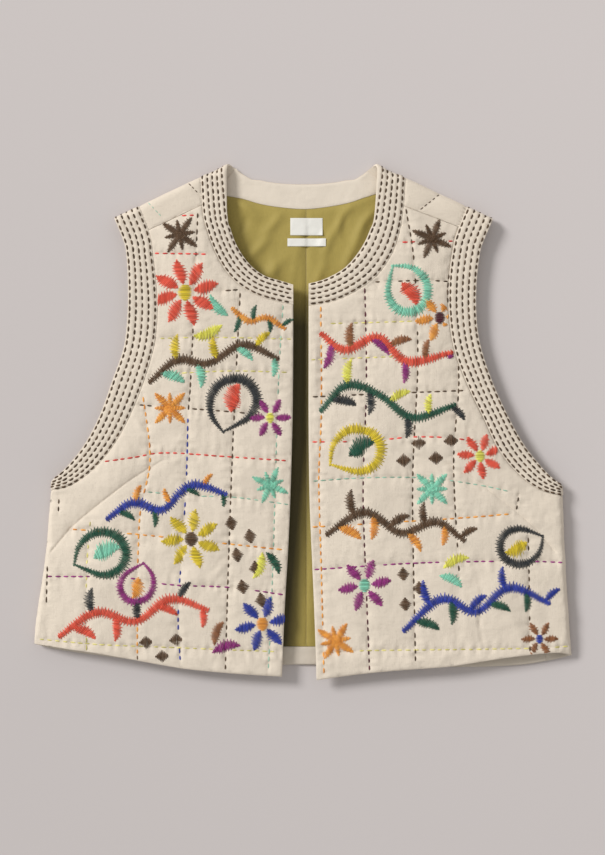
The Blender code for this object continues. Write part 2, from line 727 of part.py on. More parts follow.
def back_side_path(side):
    """The back's edge at the side seam, from the hem up."""
    seam_y = UNDERARM[side][1]
    ys = np.linspace(SIDE_HEM_Y[side], seam_y - HALF_GAP, 16)
    xs = side * (side_edge(side, ys) + ROLL_EXTRA - HALF_GAP)
    return np.stack([xs, ys], axis=1)


def make_back(neck_parts, armholes):
    """The back, with its two extensions over the shoulders to the forward shoulder seams."""
    free, seam, left_end, right_start = neck_parts
    neck = offset_path(seam[left_end : right_start + 1], -HALF_GAP)
    right = armholes[RIGHT]
    left = armholes[LEFT]
    right_armhole = offset_path(right[1][right[2] :], -HALF_GAP)
    left_armhole = offset_path(left[1][left[2] :], HALF_GAP)
    for side, armhole, corner in ((LEFT, left_armhole, neck[0]), (RIGHT, right_armhole, neck[-1])):
        inward = shoulder_line(side)[1]
        armhole[0] += inward * HALF_GAP
        corner += inward * HALF_GAP
    hem = smooth(BACK_HEM, 2)
    ring = [
        hem,
        back_side_path(RIGHT),
        right_armhole[::-1],
        shoulder_join(right_armhole[0], neck[-1]),
        neck[::-1],
        shoulder_join(neck[0], left_armhole[0]),
        left_armhole,
        back_side_path(LEFT)[::-1],
    ]
    outline = np.vstack(ring)
    xs = np.arange(-270, 271, BACK_STEP)
    ys = np.arange(-240, 260, BACK_STEP)
    points = [grid_points(xs, ys)]
    for side in (LEFT, RIGHT):
        point, inward = shoulder_line(side)
        along = np.array([-inward[1], inward[0]])
        reach = np.arange(-20, 130, 9.0)
        levels = [QUARTER * third / 3 for third in range(3, -4, -1)]
        levels += [-QUARTER - s for s in (5.0, 10.0, 15.0)]
        for level in levels:
            points.append(point + np.outer(reach * side, along) + inward * (level - ROLL_EXTRA))
        low, high = SIDE_HEM_Y[side] + SEAM_STEP, UNDERARM[side][1] - SEAM_STEP
        points.append(fold_rows(side, low, high))
    plain = points[0]
    near = np.zeros(len(plain), bool)
    for side in (LEFT, RIGHT):
        point, inward = shoulder_line(side)
        near |= (plain[:, 0] * side > 0) & ((plain - point) @ inward < 2 * FOLD_RADIUS)
        near |= plain[:, 0] * side > side_edge(side, plain[:, 1]) - 2 * FOLD_RADIUS
    points[0] = plain[~near]
    flat, faces = panel_faces(outline, np.vstack(points), 2.4)
    lines = [unrolled(p, s) for s in (LEFT, RIGHT) for p in stitched_lines(SHOULDER_QUILTING[s], s)]
    relief = quilting(lines, flat) * over_shoulder(flat)
    relief *= ease(distance_to(outline, flat), 0, QUILT_EDGE_RUN)
    cloth_object("back", flat, faces, back_layer, -1, WALL, relief, ECRU, COTTON_ROUGHNESS)


def lining_layer(flat):
    """The lining lies on the back, with a soft pleat beside its centre seam."""
    x, y = flat[:, 0], flat[:, 1]
    off = (x - LINING_SEAM_X + LINING_PLEAT_OFFSET) / LINING_PLEAT_WIDTH
    run = ease(-y, -190, 40) * ease(y, HEM_FACING_TOP, HEM_FACING_TOP + 60)
    pleat = LINING_PLEAT_HEIGHT * np.exp(-(off**2)) * run
    return np.stack([x, y, LINING_MIDDLE + pleat], axis=1)


def inner_layer(flat):
    """Flat cloth that lies on the inside of the back."""
    return np.column_stack([flat, np.full(len(flat), LINING_MIDDLE)])


def top_layer(flat):
    """Labels lie on the lining."""
    height = LINING_MIDDLE + LINING_WALL / 2 + SEAM_GAP + LABEL_WALL / 2
    return np.column_stack([flat, np.full(len(flat), height)])


def flat_piece(name, outline, step, layer, wall, colour, roughness=LINING_ROUGHNESS):
    """A thin plain piece laid on the back's inside."""
    low, high = outline.min(0), outline.max(0)
    points = grid_points(np.arange(low[0], high[0], step), np.arange(low[1], high[1], step))
    flat, faces = panel_faces(outline, points, step * 0.3)
    cloth_object(name, flat, faces, layer, 1, wall, np.zeros(len(flat)), colour, roughness)


def make_neck_facing(free):
    """The facing inside the back of the neck."""
    on_back = []
    for p in free:
        point, inward = shoulder_line(RIGHT if p[0] > 0 else LEFT)
        on_back.append((p - point) @ inward > FOLD_RADIUS + 2.0)
    upper = offset_path(free, -0.6)[np.array(on_back)]
    lower = smooth(FACING_LOWER_EDGE, 3)
    lower = offset_path(lower, HALF_GAP)
    outline = np.vstack([lower, upper[::-1]])
    flat_piece("neck_facing", outline, LINING_STEP, inner_layer, LINING_WALL, ECRU)


def lining_half(side):
    """Half of the lining's outline, from its centre seam round to its centre seam."""
    middle = LINING_SEAM_X + side * HALF_GAP
    lower = smooth(FACING_LOWER_EDGE, 3)
    lower = offset_path(lower, -HALF_GAP)
    lower = lower[(lower[:, 0] - middle) * side > 1.0]
    lower = lower if side == RIGHT else lower[::-1]
    point, inward = shoulder_line(side)
    shoulder = []
    for x in (100.0, 130.0, 158.0):
        over = inward[0] / inward[1] * (side * x - point[0])
        y = point[1] - over + LINING_SHOULDER_INSET / inward[1]
        shoulder.append((side * x, y))
    armhole = [(side * (r[0] - LINING_SIDE_INSET), r[1]) for r in ARMHOLE_FRONT[side][1:]]
    ys = np.linspace(UNDERARM[side][1] - 8, HEM_FACING_TOP + HALF_GAP, 8)
    xs = side * (side_edge(side, ys) - LINING_SIDE_INSET)
    side_path = list(zip(xs, ys))
    top_y = curve_value(middle, FACING_LOWER_EDGE, 1) - HALF_GAP
    centre = [(middle, y) for y in np.linspace(HEM_FACING_TOP + HALF_GAP, float(top_y), 20)]
    outline = np.array([*map(tuple, lower), *shoulder, *armhole, *side_path, *centre])
    return outline[::-1] if side == RIGHT else outline


def make_inside():
    """Lining halves, the facing of the back hem and two blank labels."""
    for side, name in ((LEFT, "lining_left"), (RIGHT, "lining_right")):
        flat_piece(name, lining_half(side), LINING_STEP, lining_layer, LINING_WALL, OLIVE)
    hem = smooth(BACK_HEM, 2)
    hem = hem[(hem[:, 0] > -264) & (hem[:, 0] < 266)] + (0, 0.8)
    top_y = HEM_FACING_TOP - HALF_GAP
    top = [(x, top_y) for x in np.linspace(float(hem[-1][0]), -240.0, 22)]
    flat_piece("hem_facing", np.vstack([hem, top]), LINING_STEP, inner_layer, LINING_WALL, ECRU)
    for name, x, y, width, height in LABELS:
        w, h = width / 2, height / 2
        outline = np.array([(x - w, y - h), (x + w, y - h), (x + w, y + h), (x - w, y + h)])
        flat_piece(name, outline, LINING_STEP * 2, top_layer, LABEL_WALL, WHITE)


def main():
    for obj in list(bpy.data.objects):
        bpy.data.objects.remove(obj)
    bpy.context.scene.collection.children.link(bpy.data.collections.new(COLLECTION))
    neck = neck_track()
    armholes = {side: armhole_track(side) for side in (LEFT, RIGHT)}
    band_object("neck_band", neck[0], neck[1], -1)
    band_object("armhole_band_left", armholes[LEFT][0], armholes[LEFT][1], 1)
    band_object("armhole_band_right", armholes[RIGHT][0], armholes[RIGHT][1], -1)
    make_fronts(neck, armholes)
    make_back(neck, armholes)
    make_neck_facing(neck[0])
    make_inside()


main()
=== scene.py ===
import math
import random

import bmesh
import bpy
import numpy as np
from bpy.props import FloatProperty, FloatVectorProperty, IntProperty, PointerProperty
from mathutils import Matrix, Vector, noise
from mathutils.bvhtree import BVHTree
from mathutils.geometry import delaunay_2d_cdt
from mathutils.kdtree import KDTree


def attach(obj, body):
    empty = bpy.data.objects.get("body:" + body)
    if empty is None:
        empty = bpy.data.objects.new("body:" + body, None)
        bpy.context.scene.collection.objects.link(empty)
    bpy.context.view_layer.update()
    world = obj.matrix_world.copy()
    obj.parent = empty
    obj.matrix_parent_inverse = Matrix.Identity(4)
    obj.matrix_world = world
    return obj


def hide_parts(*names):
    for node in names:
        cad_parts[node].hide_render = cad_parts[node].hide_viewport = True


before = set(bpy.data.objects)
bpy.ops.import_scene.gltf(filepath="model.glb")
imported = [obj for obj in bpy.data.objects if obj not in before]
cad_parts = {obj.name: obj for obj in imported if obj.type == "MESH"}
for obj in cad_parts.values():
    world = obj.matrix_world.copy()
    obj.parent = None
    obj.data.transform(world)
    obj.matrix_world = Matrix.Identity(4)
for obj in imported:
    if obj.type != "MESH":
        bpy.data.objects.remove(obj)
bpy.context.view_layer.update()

bl_info = {
    "name": "Quilted Waistcoat",
    "version": (1, 0, 0),
    "blender": (4, 5, 0),
    "location": "View3D > Sidebar > Waistcoat",
    "description": "Dresses the sewn panels with cotton, running stitches and embroidery",
    "category": "Object",
}

MM = 0.001
LEFT, RIGHT = -1, 1
SIDES = ((LEFT, "left"), (RIGHT, "right"))
OVER_ALL = 60.0  # mm, higher than any piece
DOWNWARDS = Vector((0, 0, -1))
CLOTH_CORNER = math.radians(58)  # quilted cloth and bands look sharp past this angle
THIN_CORNER = math.radians(50)  # and linings, facings and labels past this one
THINNEST = 0.7  # mm that the outside of quilted cloth keeps over its inside
DEEPEST = -1.2  # mm, how far the outside sinks where nothing is under it
HEM_FACING = 0.021  # m, width of the facing inside the hem
OVERLAP = 0.26  # mm that a band reaches into the 0.3 mm gap of its seam
THREAD_FLATNESS = 0.62  # height of a thread over its width
THREAD_END = 0.45  # width of a stitch at its ends over that in its middle
FULL_ARCH = 7.0  # mm, length from which a satin stitch arches fully
SATIN_SHOULDER = 0.75  # share of the arch between its top and its ends
SATIN_DIP = 0.25  # mm that its ends go into the cloth
# How far a running stitch lies over the cloth from one end to the other, over its width
RUNNING_LIFT = np.array([-0.15, 0.16, 0.24, 0.16, -0.15])
BAND_LIFT = np.array([-0.12, 0.16, 0.24, 0.16, -0.12])
STEEPEST = 0.12  # stitches need ground whose normal points up by this much
LOWEST_GROUND = 5.0  # mm, and which is this high, so that none falls into the opening
RUNNING_SEED, SHOULDER_SEED, EMBROIDERY_SEED, BAND_SEED = 11, 21, 31, 40


def linear(red, green, blue):
    """The linear colour of a display colour given as 0 to 255."""
    return tuple(c / 3294.6 if c <= 10.3 else ((c / 255 + 0.055) / 1.055) ** 2.4 for c in (red, green, blue))


def colour(name, description, *rgb):
    return FloatVectorProperty(
        name=name, description=description, default=linear(*rgb), subtype="COLOR", size=3, min=0.0, max=1.0
    )


def length(name, description, millimetres):
    return FloatProperty(
        name=name,
        description=description,
        default=millimetres * MM,
        min=0.0,
        unit="LENGTH",
        subtype="DISTANCE",
    )


class WaistcoatCloth(bpy.types.PropertyGroup):
    ecru: colour("Ecru", "Unbleached cotton of the outside and the bands", 230, 217, 199)
    facing: colour("Facing", "Plain cotton inside the neck and the hem", 231, 219, 202)
    olive: colour("Olive", "Lining cotton", 173, 154, 78)
    tape: colour("Tape", "Woven label tape", 238, 236, 228)
    wall: length("Wall", "Thickness of the quilted cloth at a seam", 2.4)
    groove: length("Groove", "Depth of the groove that the running stitches pull", 0.55)
    pucker: length("Pucker", "Height of the small puckers beside the stitches", 0.95)
    crease: length("Crease", "Height of the wide uneven creases", 1.1)
    edge: length("Edge", "How far a turned edge rolls down", 0.6)


class WaistcoatThreads(bpy.types.PropertyGroup):
    dash: length("Dash", "Length of a running stitch", 5.6)
    pitch: length("Pitch", "From one running stitch to the next", 8.0)
    thread: length("Thread", "Width of the running thread", 1.7)
    band_thread: length("Band thread", "Width of the thread on the bands", 2.1)
    band_pitch: length("Band pitch", "From one stitch to the next on the bands", 7.3)
    satin: length("Satin thread", "Width of one satin stitch", 1.4)
    satin_pitch: length("Satin pitch", "From one satin stitch to the next", 1.5)
    satin_height: length("Satin height", "How far satin stitches arch over the cloth", 0.75)
    band_rows: IntProperty(
        name="Band rows", description="Rows of stitches on a band", default=5, min=1, max=9
    )
    bark: colour("Bark", "Dark brown of the bands and quilting", 84, 65, 46)
    brown: colour("Brown", "Brown embroidery", 92, 68, 46)
    tan: colour("Tan", "Tan embroidery", 146, 94, 58)
    coral: colour("Coral", "Coral embroidery", 236, 88, 66)
    orange: colour("Orange", "Orange embroidery", 246, 154, 64)
    mustard: colour("Mustard", "Mustard embroidery", 216, 192, 46)
    lemon: colour("Lemon", "Lemon embroidery", 232, 222, 92)
    mint: colour("Mint", "Mint embroidery", 132, 204, 176)
    forest: colour("Forest", "Dark green embroidery", 30, 84, 64)
    charcoal: colour("Charcoal", "Charcoal embroidery", 46, 50, 52)
    royal: colour("Royal", "Royal blue embroidery", 42, 60, 156)
    magenta: colour("Magenta", "Magenta embroidery", 146, 46, 122)
    maroon: colour("Maroon", "Maroon embroidery", 84, 30, 44)
    red: colour("Red", "Red quilting thread", 218, 74, 66)
    pale_mint: colour("Pale mint", "Fine mint quilting thread", 146, 190, 168)
    pale_yellow: colour("Pale yellow", "Fine yellow quilting thread", 220, 210, 122)


class WaistcoatStage(bpy.types.PropertyGroup):
    paper: colour("Paper", "Floor", 211, 204, 202)
    camera_height: length("Camera height", "Camera over the floor", 2600.0)
    frame_height: length("Frame height", "Height of the picture at the cloth", 889.2)
    lamp_angle: FloatProperty(
        name="Lamp angle",
        description="How wide the far lamp looks",
        default=0.31,
        min=0.0,
        unit="ROTATION",
        subtype="ANGLE",
    )
    lamp_power: FloatProperty(
        name="Lamp power", description="Main lamp, in watts on a square metre", default=2.4, min=0.0
    )
    sky: FloatProperty(name="Sky", description="Strength of the even light", default=0.53, min=0.0)


# Quilting on the fronts: thread, then points in mm with x measured outwards from the middle.
# Lines that run down come first, from the opening outwards, then lines across.
DOWN_LINES = {
    LEFT: [
        ("pale_mint", [(20.5, 124.0), (25.7, 32.0), (31.7, -163.0), (36.2, -263.0)]),
        ("bark", [(65.0, 137.0), (71.4, 9.0), (75.8, -100.0), (80.8, -260.0)]),
        ("bark", [(109.2, 218.0), (115.8, 60.0), (118.8, 12.0)]),
        ("royal", [(119.2, 6.0), (121.6, -72.0), (129.4, -196.0), (127.0, -256.0)]),
        ("orange", [(166.6, 30.0), (158.8, -40.0), (170.0, -107.0), (172.2, -246.0)]),
        ("pale_yellow", [(220.8, -103.0), (224.7, -155.0), (225.0, -239.0)]),
        ("bark", [(253.9, -76.0), (254.5, -96.0)]),
        ("bark", [(266.0, -150.0), (267.0, -190.0)]),
    ],
    RIGHT: [
        ("orange", [(18.6, 122.0), (19.2, 12.0), (16.6, -60.0), (19.0, -150.0), (22.0, -266.0)]),
        ("maroon", [(64.1, 143.0), (65.9, 41.0), (62.4, -73.0), (66.1, -181.0), (69.2, -260.0)]),
        ("bark", [(107.0, 222.0), (115.6, 162.0), (119.1, 60.0), (113.8, -69.0), (117.0, -256.0)]),
        ("bark", [(153.7, 170.0), (150.6, 123.0), (162.0, 50.0), (156.4, -44.0), (162.6, -166.0)]),
        ("bark", [(224.4, -75.0), (221.2, -96.0)]),
        ("bark", [(234.0, -108.0), (236.1, -241.0)]),
    ],
}
ACROSS_LINES = {
    LEFT: [
        ("red", [(160.0, 213.0), (108.0, 214.6)]),
        ("red", [(156.0, 175.0), (100.0, 173.8)]),
        ("bark", [(84.0, 135.6), (66.0, 137.0)]),
        ("pale_yellow", [(152.0, 86.4), (92.0, 87.4), (10.0, 85.6)]),
        ("pale_yellow", [(163.0, 48.0), (80.0, 52.4), (10.0, 51.0)]),
        ("bark", [(180.0, 18.0), (67.3, 9.5), (11.0, 3.5)]),
        ("red", [(216.0, -43.0), (174.0, -37.0), (142.4, -32.5), (71.7, -37.0), (12.0, -41.0)]),
        ("pale_mint", [(172.0, -72.0), (118.2, -77.0), (71.7, -78.6), (13.5, -86.4)]),
        ("orange", [(240.0, -112.0), (168.5, -117.5), (73.5, -127.4), (15.0, -133.9)]),
        ("magenta", [(274.0, -161.0), (187.0, -162.0), (138.7, -169.3), (77.3, -172.1), (19.0, -180.0)]),
        ("pale_yellow", [(278.0, -226.0), (215.0, -231.5), (142.4, -234.5), (21.5, -239.4)]),
    ],
    RIGHT: [
        ("red", [(93.0, 186.0), (157.0, 187.7)]),
        ("bark", [(64.0, 144.7), (125.0, 146.5), (153.0, 145.6)]),
        ("pale_yellow", [(28.0, 101.8), (94.0, 103.5), (152.0, 106.0)]),
        ("pale_yellow", [(6.0, 64.0), (87.0, 67.1), (158.0, 69.3)]),
        ("bark", [(6.0, 25.5), (64.5, 28.2), (163.3, 32.1), (174.0, 33.0)]),
        ("red", [(6.5, -21.3), (63.9, -20.3), (116.0, -16.1), (158.9, -17.6), (200.0, -26.0)]),
        ("pale_mint", [(6.8, -62.2), (62.0, -58.5), (127.2, -58.5), (183.0, -66.0), (214.0, -72.5)]),
        ("orange", [(7.6, -109.7), (147.7, -101.3), (218.0, -95.8)]),
        ("magenta", [(9.6, -154.0), (116.0, -147.0), (216.6, -145.1), (273.0, -146.6)]),
        ("pale_yellow", [(13.5, -241.9), (58.3, -238.2), (116.0, -237.3), (227.7, -236.0), (276.0, -234.0)]),
    ],
}
# The back's lines, where it comes over the shoulders
SHOULDER_LINES = {
    LEFT: [("pale_mint", [(163.0, 230.0), (146.0, 212.0)]), ("bark", [(120.0, 249.0), (107.6, 236.0)])],
    RIGHT: [("bark", [(144.0, 238.0), (118.0, 217.0)])],
}
DART = [(146.0, -41.0), (180.0, -62.0), (214.0, -88.0), (240.0, -110.0), (262.0, -136.0)]
# Small creases of the fronts: where from, where to, width and height in mm
FRONT_CREASES = [
    (-142.0, -44.0, -108.0, -24.0, 3.2, 0.5),
    (-146.0, -38.0, -122.0, -8.0, 3.0, 0.45),
    (-100.0, 36.0, -104.0, -26.0, 3.4, -0.35),
    (-88.0, 4.0, -90.0, -30.0, 3.0, 0.35),
    (-112.0, -118.0, -128.0, -164.0, 4.2, 0.6),
    (-150.0, -120.0, -152.0, -166.0, 4.0, -0.45),
    (-62.0, -134.0, -98.0, -170.0, 3.6, 0.55),
    (-176.0, 8.0, -158.0, -18.0, 3.2, 0.4),
    (-140.0, 120.0, -128.0, 180.0, 4.0, 0.35),
    (124.0, -42.0, 88.0, -30.0, 3.2, -0.5),
    (126.0, -34.0, 104.0, -4.0, 3.0, 0.5),
    (148.0, -52.0, 132.0, -84.0, 3.4, 0.5),
    (186.0, -176.0, 188.0, -236.0, 1.7, -1.0),
    (184.0, -180.0, 178.0, -150.0, 2.8, -0.35),
    (96.0, -132.0, 88.0, -150.0, 3.2, 0.4),
    (128.0, 126.0, 136.0, 84.0, 4.0, 0.4),
    (96.0, 88.0, 106.0, 116.0, 3.2, -0.35),
    (212.0, -196.0, 232.0, -222.0, 4.6, 0.5),
    (176.0, 8.0, 172.0, -34.0, 3.0, -0.35),
]
# Creases of the lining, in the same way
LINING_CREASES = [
    (-70.0, 238.0, -40.0, 208.0, 5.0, 2.6),
    (-42.0, 196.0, -22.0, 218.0, 4.6, 2.6),
    (-62.0, 168.0, -34.0, 196.0, 5.0, 2.8),
    (-74.0, 196.0, -58.0, 214.0, 4.0, -2.0),
    (-46.0, 146.0, -20.0, 172.0, 6.0, 2.6),
    (-30.0, 176.0, -24.0, 128.0, 5.0, 1.8),
    (-6.0, 176.0, -7.0, -200.0, 3.0, 1.5),
    (54.0, 230.0, 36.0, 200.0, 4.2, 2.8),
    (38.0, 206.0, 22.0, 172.0, 4.6, 2.4),
    (76.0, 222.0, 54.0, 188.0, 4.2, 2.8),
    (62.0, 196.0, 42.0, 150.0, 5.0, 2.2),
    (46.0, 222.0, 44.0, 192.0, 3.4, -1.8),
    (24.0, 168.0, 12.0, 128.0, 4.6, 1.8),
]


# A curled drop one unit long, from its tip and back
DROP = [(0.0, 0.0), (0.2, 0.3), (0.52, 0.42), (0.82, 0.28), (0.92, -0.02), (0.74, -0.28)]
DROP += [(0.44, -0.3), (0.2, -0.14), (0.02, 0.02)]


def spline_at(points, places):
    """A Catmull-Rom curve through the points, at places counted in points."""
    p = np.vstack([2 * points[0] - points[1], points, 2 * points[-1] - points[-2]])
    k = np.clip(places.astype(int), 0, len(points) - 2)
    t = (places - k)[:, None]
    a, b, c, d = p[k], p[k + 1], p[k + 2], p[k + 3]
    cubic = (2 * a - 5 * b + 4 * c - d) * t**2 + (3 * b - a - 3 * c + d) * t**3
    return 0.5 * (2 * b + (c - a) * t + cubic)


def smooth(points, step):
    """A curve through the points, with samples about a step apart."""
    points = np.asarray(points, float)
    lengths = arc_lengths(points)
    count = max(len(points) * 2, round(lengths[-1] / step)) + 1
    return spline_at(points, np.interp(np.linspace(0, lengths[-1], count), lengths, np.arange(len(points))))


def arc_lengths(path):
    return np.concatenate([[0], np.cumsum(np.linalg.norm(np.diff(path, axis=0), axis=1))])


def along(path, lengths, at):
    """Points of a path at the given lengths along it."""
    return np.stack([np.interp(at, lengths, path[:, i]) for i in range(path.shape[1])], axis=1)


def ease(value, low, high):
    t = np.clip((value - low) / (high - low), 0, 1)
    return t * t * (3 - 2 * t)


def to_path(path, points):
    """Distance of each flat point from a path."""
    a, ab = path[:-1], np.diff(path, axis=0)
    ap = points[:, None] - a[None]
    t = np.clip((ap * ab).sum(2) / (ab * ab).sum(1), 0, 1)
    return np.linalg.norm(ap - t[..., None] * ab, axis=2).min(1)


def to_lines(rows, side, points):
    """Distance of each flat point from the nearest of the quilting lines."""
    nearest = np.full(len(points), 1e3)
    for _, row in rows:
        path = smooth([(side * x, y) for x, y in row], 12)
        near = (points[:, 0] > path[:, 0].min() - 12) & (points[:, 0] < path[:, 0].max() + 12)
        near &= (points[:, 1] > path[:, 1].min() - 12) & (points[:, 1] < path[:, 1].max() + 12)
        nearest[near] = np.minimum(nearest[near], to_path(path, points[near]))
    return nearest


def rough(points, scale_x, scale_y, seed):
    """Smooth noise from -1 to 1 at flat points, with features of the two scales in mm."""
    values = [noise.noise(Vector((x / scale_x, y / scale_y, seed))) for x, y in points[:, :2]]
    return np.array(values)


def creased(points, table):
    """Height of the listed creases at flat points."""
    total = np.zeros(len(points))
    x, y = points[:, 0], points[:, 1]
    for x1, y1, x2, y2, width, height in table:
        dx, dy = x2 - x1, y2 - y1
        span = math.hypot(dx, dy)
        t = np.clip(((x - x1) * dx + (y - y1) * dy) / (dx * dx + dy * dy), 0, 1)
        bow = 0.06 * span * np.sin(np.pi * t)
        off = np.hypot(x - x1 - t * dx - bow * dy / span, y - y1 - t * dy + bow * dx / span)
        total += height * np.exp(-((off / width) ** 2)) * np.sin(np.pi * (0.1 + 0.8 * t))
    return total


class Value:
    """A number socket of a material, used in sums."""

    def __init__(self, paint, socket):
        self.paint, self.socket = paint, socket

    def math(self, operation, other=None, turned=False):
        values = [self] if other is None else ([other, self] if turned else [self, other])
        return self.paint.add("ShaderNodeMath", {"operation": operation}, dict(enumerate(values)))

    def __add__(self, other):
        return self.math("ADD", other)

    def __sub__(self, other):
        return self.math("SUBTRACT", other)

    def __rsub__(self, other):
        return self.math("SUBTRACT", other, True)

    def __mul__(self, other):
        return self.math("MULTIPLY", other)

    __radd__ = __add__
    __rmul__ = __mul__


class Paint:
    """One material and its nodes."""

    def __init__(self, name, roughness, sheen=0.0, specular=0.3):
        self.material = bpy.data.materials.new(name)
        self.material.use_nodes = True
        self.tree = self.material.node_tree
        self.shader = self.tree.nodes["Principled BSDF"]
        self.shader.inputs["Roughness"].default_value = roughness
        self.shader.inputs["Sheen Weight"].default_value = sheen
        self.shader.inputs["Specular IOR Level"].default_value = specular

    def add(self, kind, settings, values, output=0):
        """Adds a node: its settings first, then the values or links of its sockets."""
        node = self.tree.nodes.new(kind)
        for key, value in settings.items():
            setattr(node, key, value)
        for key, value in values.items():
            if isinstance(value, Value):
                self.tree.links.new(value.socket, node.inputs[key])
            else:
                node.inputs[key].default_value = value
        return Value(self, node.outputs[output])

    def place(self):
        return self.add("ShaderNodeTexCoord", {}, {}, "Object")

    def noise(self, scale, detail=2.0, rough=0.5):
        """Noise with its own scale along each axis, in features per metre."""
        mapped = self.add("ShaderNodeMapping", {}, {"Vector": self.place(), "Scale": scale})
        values = {"Vector": mapped, "Scale": 1.0, "Detail": detail, "Roughness": rough}
        return self.add("ShaderNodeTexNoise", {}, values, "Fac")

    def axes(self):
        parts = self.add("ShaderNodeSeparateXYZ", {}, {"Vector": self.place()})
        return [Value(self, parts.socket.node.outputs[i]) for i in range(3)]

    def mix(self, factor, first, second):
        first, second = [c if isinstance(c, Value) else (*c, 1.0) for c in (first, second)]
        return self.add("ShaderNodeMix", {"data_type": "RGBA"}, {0: factor, 6: first, 7: second}, 2)

    def step(self, value, low, high):
        values = {"Value": value, "From Min": low, "From Max": high}
        return self.add("ShaderNodeMapRange", {"clamp": True}, values)

    def bump(self, height, distance):
        values = {"Height": height, "Distance": distance, "Strength": 1.0}
        self.finish("Normal", self.add("ShaderNodeBump", {}, values))

    def finish(self, name, value):
        self.tree.links.new(value.socket, self.shader.inputs[name])


def darker(rgb, share):
    return tuple(c * share for c in rgb)


def weave(paint, pitch):
    """Height of a plain weave, with the slubs of hand-spun yarn."""
    x, y, _ = paint.axes()
    over = (x * (math.tau / pitch)).math("SINE") * (y * (math.tau / pitch)).math("SINE")
    slubs = paint.noise((90, 1300, 700)) + paint.noise((1300, 90, 700))
    return over * 0.25 + slubs + paint.noise((170, 230, 200), 3.0) * 2.2


def cotton(name, rgb, pitch=0.0009, roughness=0.92, flecks=0.5, relief=0.00022):
    """Unbleached cotton: a plain weave with thick and thin yarns and a few darker flecks."""
    paint = Paint(name, roughness, sheen=0.18, specular=0.18)
    slub_up = paint.step(paint.noise((1500, 110, 600), 3.0), 0.56, 0.80)
    slub_across = paint.step(paint.noise((110, 1500, 600), 3.0), 0.56, 0.80)
    cloud = paint.step(paint.noise((14, 14, 14), 3.0), 0.35, 0.75)
    speck = paint.step(paint.noise((420, 420, 420), 1.0), 0.70, 0.78)
    tone = paint.mix(cloud * 0.6, rgb, darker(rgb, 0.88))
    tone = paint.mix((slub_up + slub_across) * (0.5 * flecks), tone, darker(rgb, 0.72))
    tone = paint.mix(speck * (0.5 * flecks), tone, darker(rgb, 0.5))
    paint.finish("Base Color", tone)
    paint.bump(weave(paint, pitch), relief)
    return paint


def lining_cotton(name, rgb):
    """Finer and smoother cotton with a soft sheen, darkened by painted shadow in the depth of the opening.
    """
    paint = Paint(name, 0.62, sheen=0.35, specular=0.3)
    cloud = paint.step(paint.noise((22, 16, 20), 3.0), 0.3, 0.75)
    grain = paint.step(paint.noise((1800, 160, 600), 2.0), 0.45, 0.8)
    tone = paint.mix(cloud * 0.6, rgb, darker(rgb, 0.84))
    tone = paint.mix(grain * 0.35, tone, darker(rgb, 0.7))
    # painted shadow: darker in the depth of the opening, most of all under the left front, as the fronts
    # shade it
    x, y, _ = paint.axes()
    wider = paint.step(y, -0.02, -0.24) * 0.02
    painted_opening_shadow = paint.step(y, 0.145, 0.10) * paint.step(x + wider, 0.019, 0.001)
    paint.finish("Base Color", paint.mix(painted_opening_shadow * 0.93, tone, darker(rgb, 0.1)))
    paint.bump(weave(paint, 0.0006), 0.0001)
    return paint


def inner_side(name, rgb, facing_rgb):
    """The inside of a front: lining, with the hem's facing below a line that follows the hem."""
    paint = lining_cotton(name, rgb)
    x, y, _ = paint.axes()
    line = y + x.math("ABSOLUTE") * -0.09 + (0.268 - HEM_FACING)
    band = paint.step(line, -0.0004, 0.0004)
    base = paint.shader.inputs["Base Color"].links[0].from_socket
    paint.finish("Base Color", paint.mix(band, facing_rgb, Value(paint, base)))
    return paint


def thread_paint(name, rgb):
    """Stranded cotton thread. Each stitch has its own tone, kept in the mesh."""
    paint = Paint(name, 0.68, sheen=0.05, specular=0.22)
    tone = paint.add("ShaderNodeAttribute", {"attribute_name": "tone"}, {}, "Fac")
    strands = paint.noise((2400, 2400, 2400), 2.0)
    light = tuple(min(1.0, c * 1.4 + 0.014) for c in rgb)
    shade = paint.mix(tone, darker(rgb, 0.74), light)
    paint.finish("Base Color", paint.mix(paint.step(strands, 0.35, 0.7) * 0.25, shade, darker(rgb, 0.55)))
    paint.bump(strands, 0.00012)
    return paint


def cloth():
    return bpy.context.scene.waistcoat_cloth


def threads():
    return bpy.context.scene.waistcoat_threads


SEAM_ANGLE = math.radians(51)
OUTSIDE, INSIDE, CUT_EDGE = 0, 1, 2


def marked_sides(bm, outside_up=None):
    """Gives faces their side: the larger skin is the outside, unless the one that faces up is asked for."""
    bm.faces.ensure_lookup_table()
    group_of = [-1] * len(bm.faces)
    groups = []
    for first in bm.faces:
        if group_of[first.index] >= 0:
            continue
        group_of[first.index] = len(groups)
        group, stack = [first], [first]
        while stack:
            for edge in stack.pop().edges:
                if len(edge.link_faces) == 2 and edge.calc_face_angle() < SEAM_ANGLE:
                    for face in edge.link_faces:
                        if group_of[face.index] < 0:
                            group_of[face.index] = len(groups)
                            group.append(face)
                            stack.append(face)
        groups.append(group)
    groups.sort(key=lambda g: -sum(f.calc_area() for f in g))
    if outside_up and sum(f.normal.z * f.calc_area() for f in groups[0]) < 0:
        groups[0], groups[1] = groups[1], groups[0]
    for number, group in enumerate(groups):
        for face in group:
            face.material_index = min(number, CUT_EDGE)


def node_mesh(node, outside_up=None):
    """A merged copy of a node, with its sides marked."""
    bm = bmesh.new()
    bm.from_mesh(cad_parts[node].data)
    bmesh.ops.remove_doubles(bm, verts=bm.verts, dist=1e-6)
    for face in bm.faces:
        face.smooth = True
    marked_sides(bm, outside_up)
    return bm


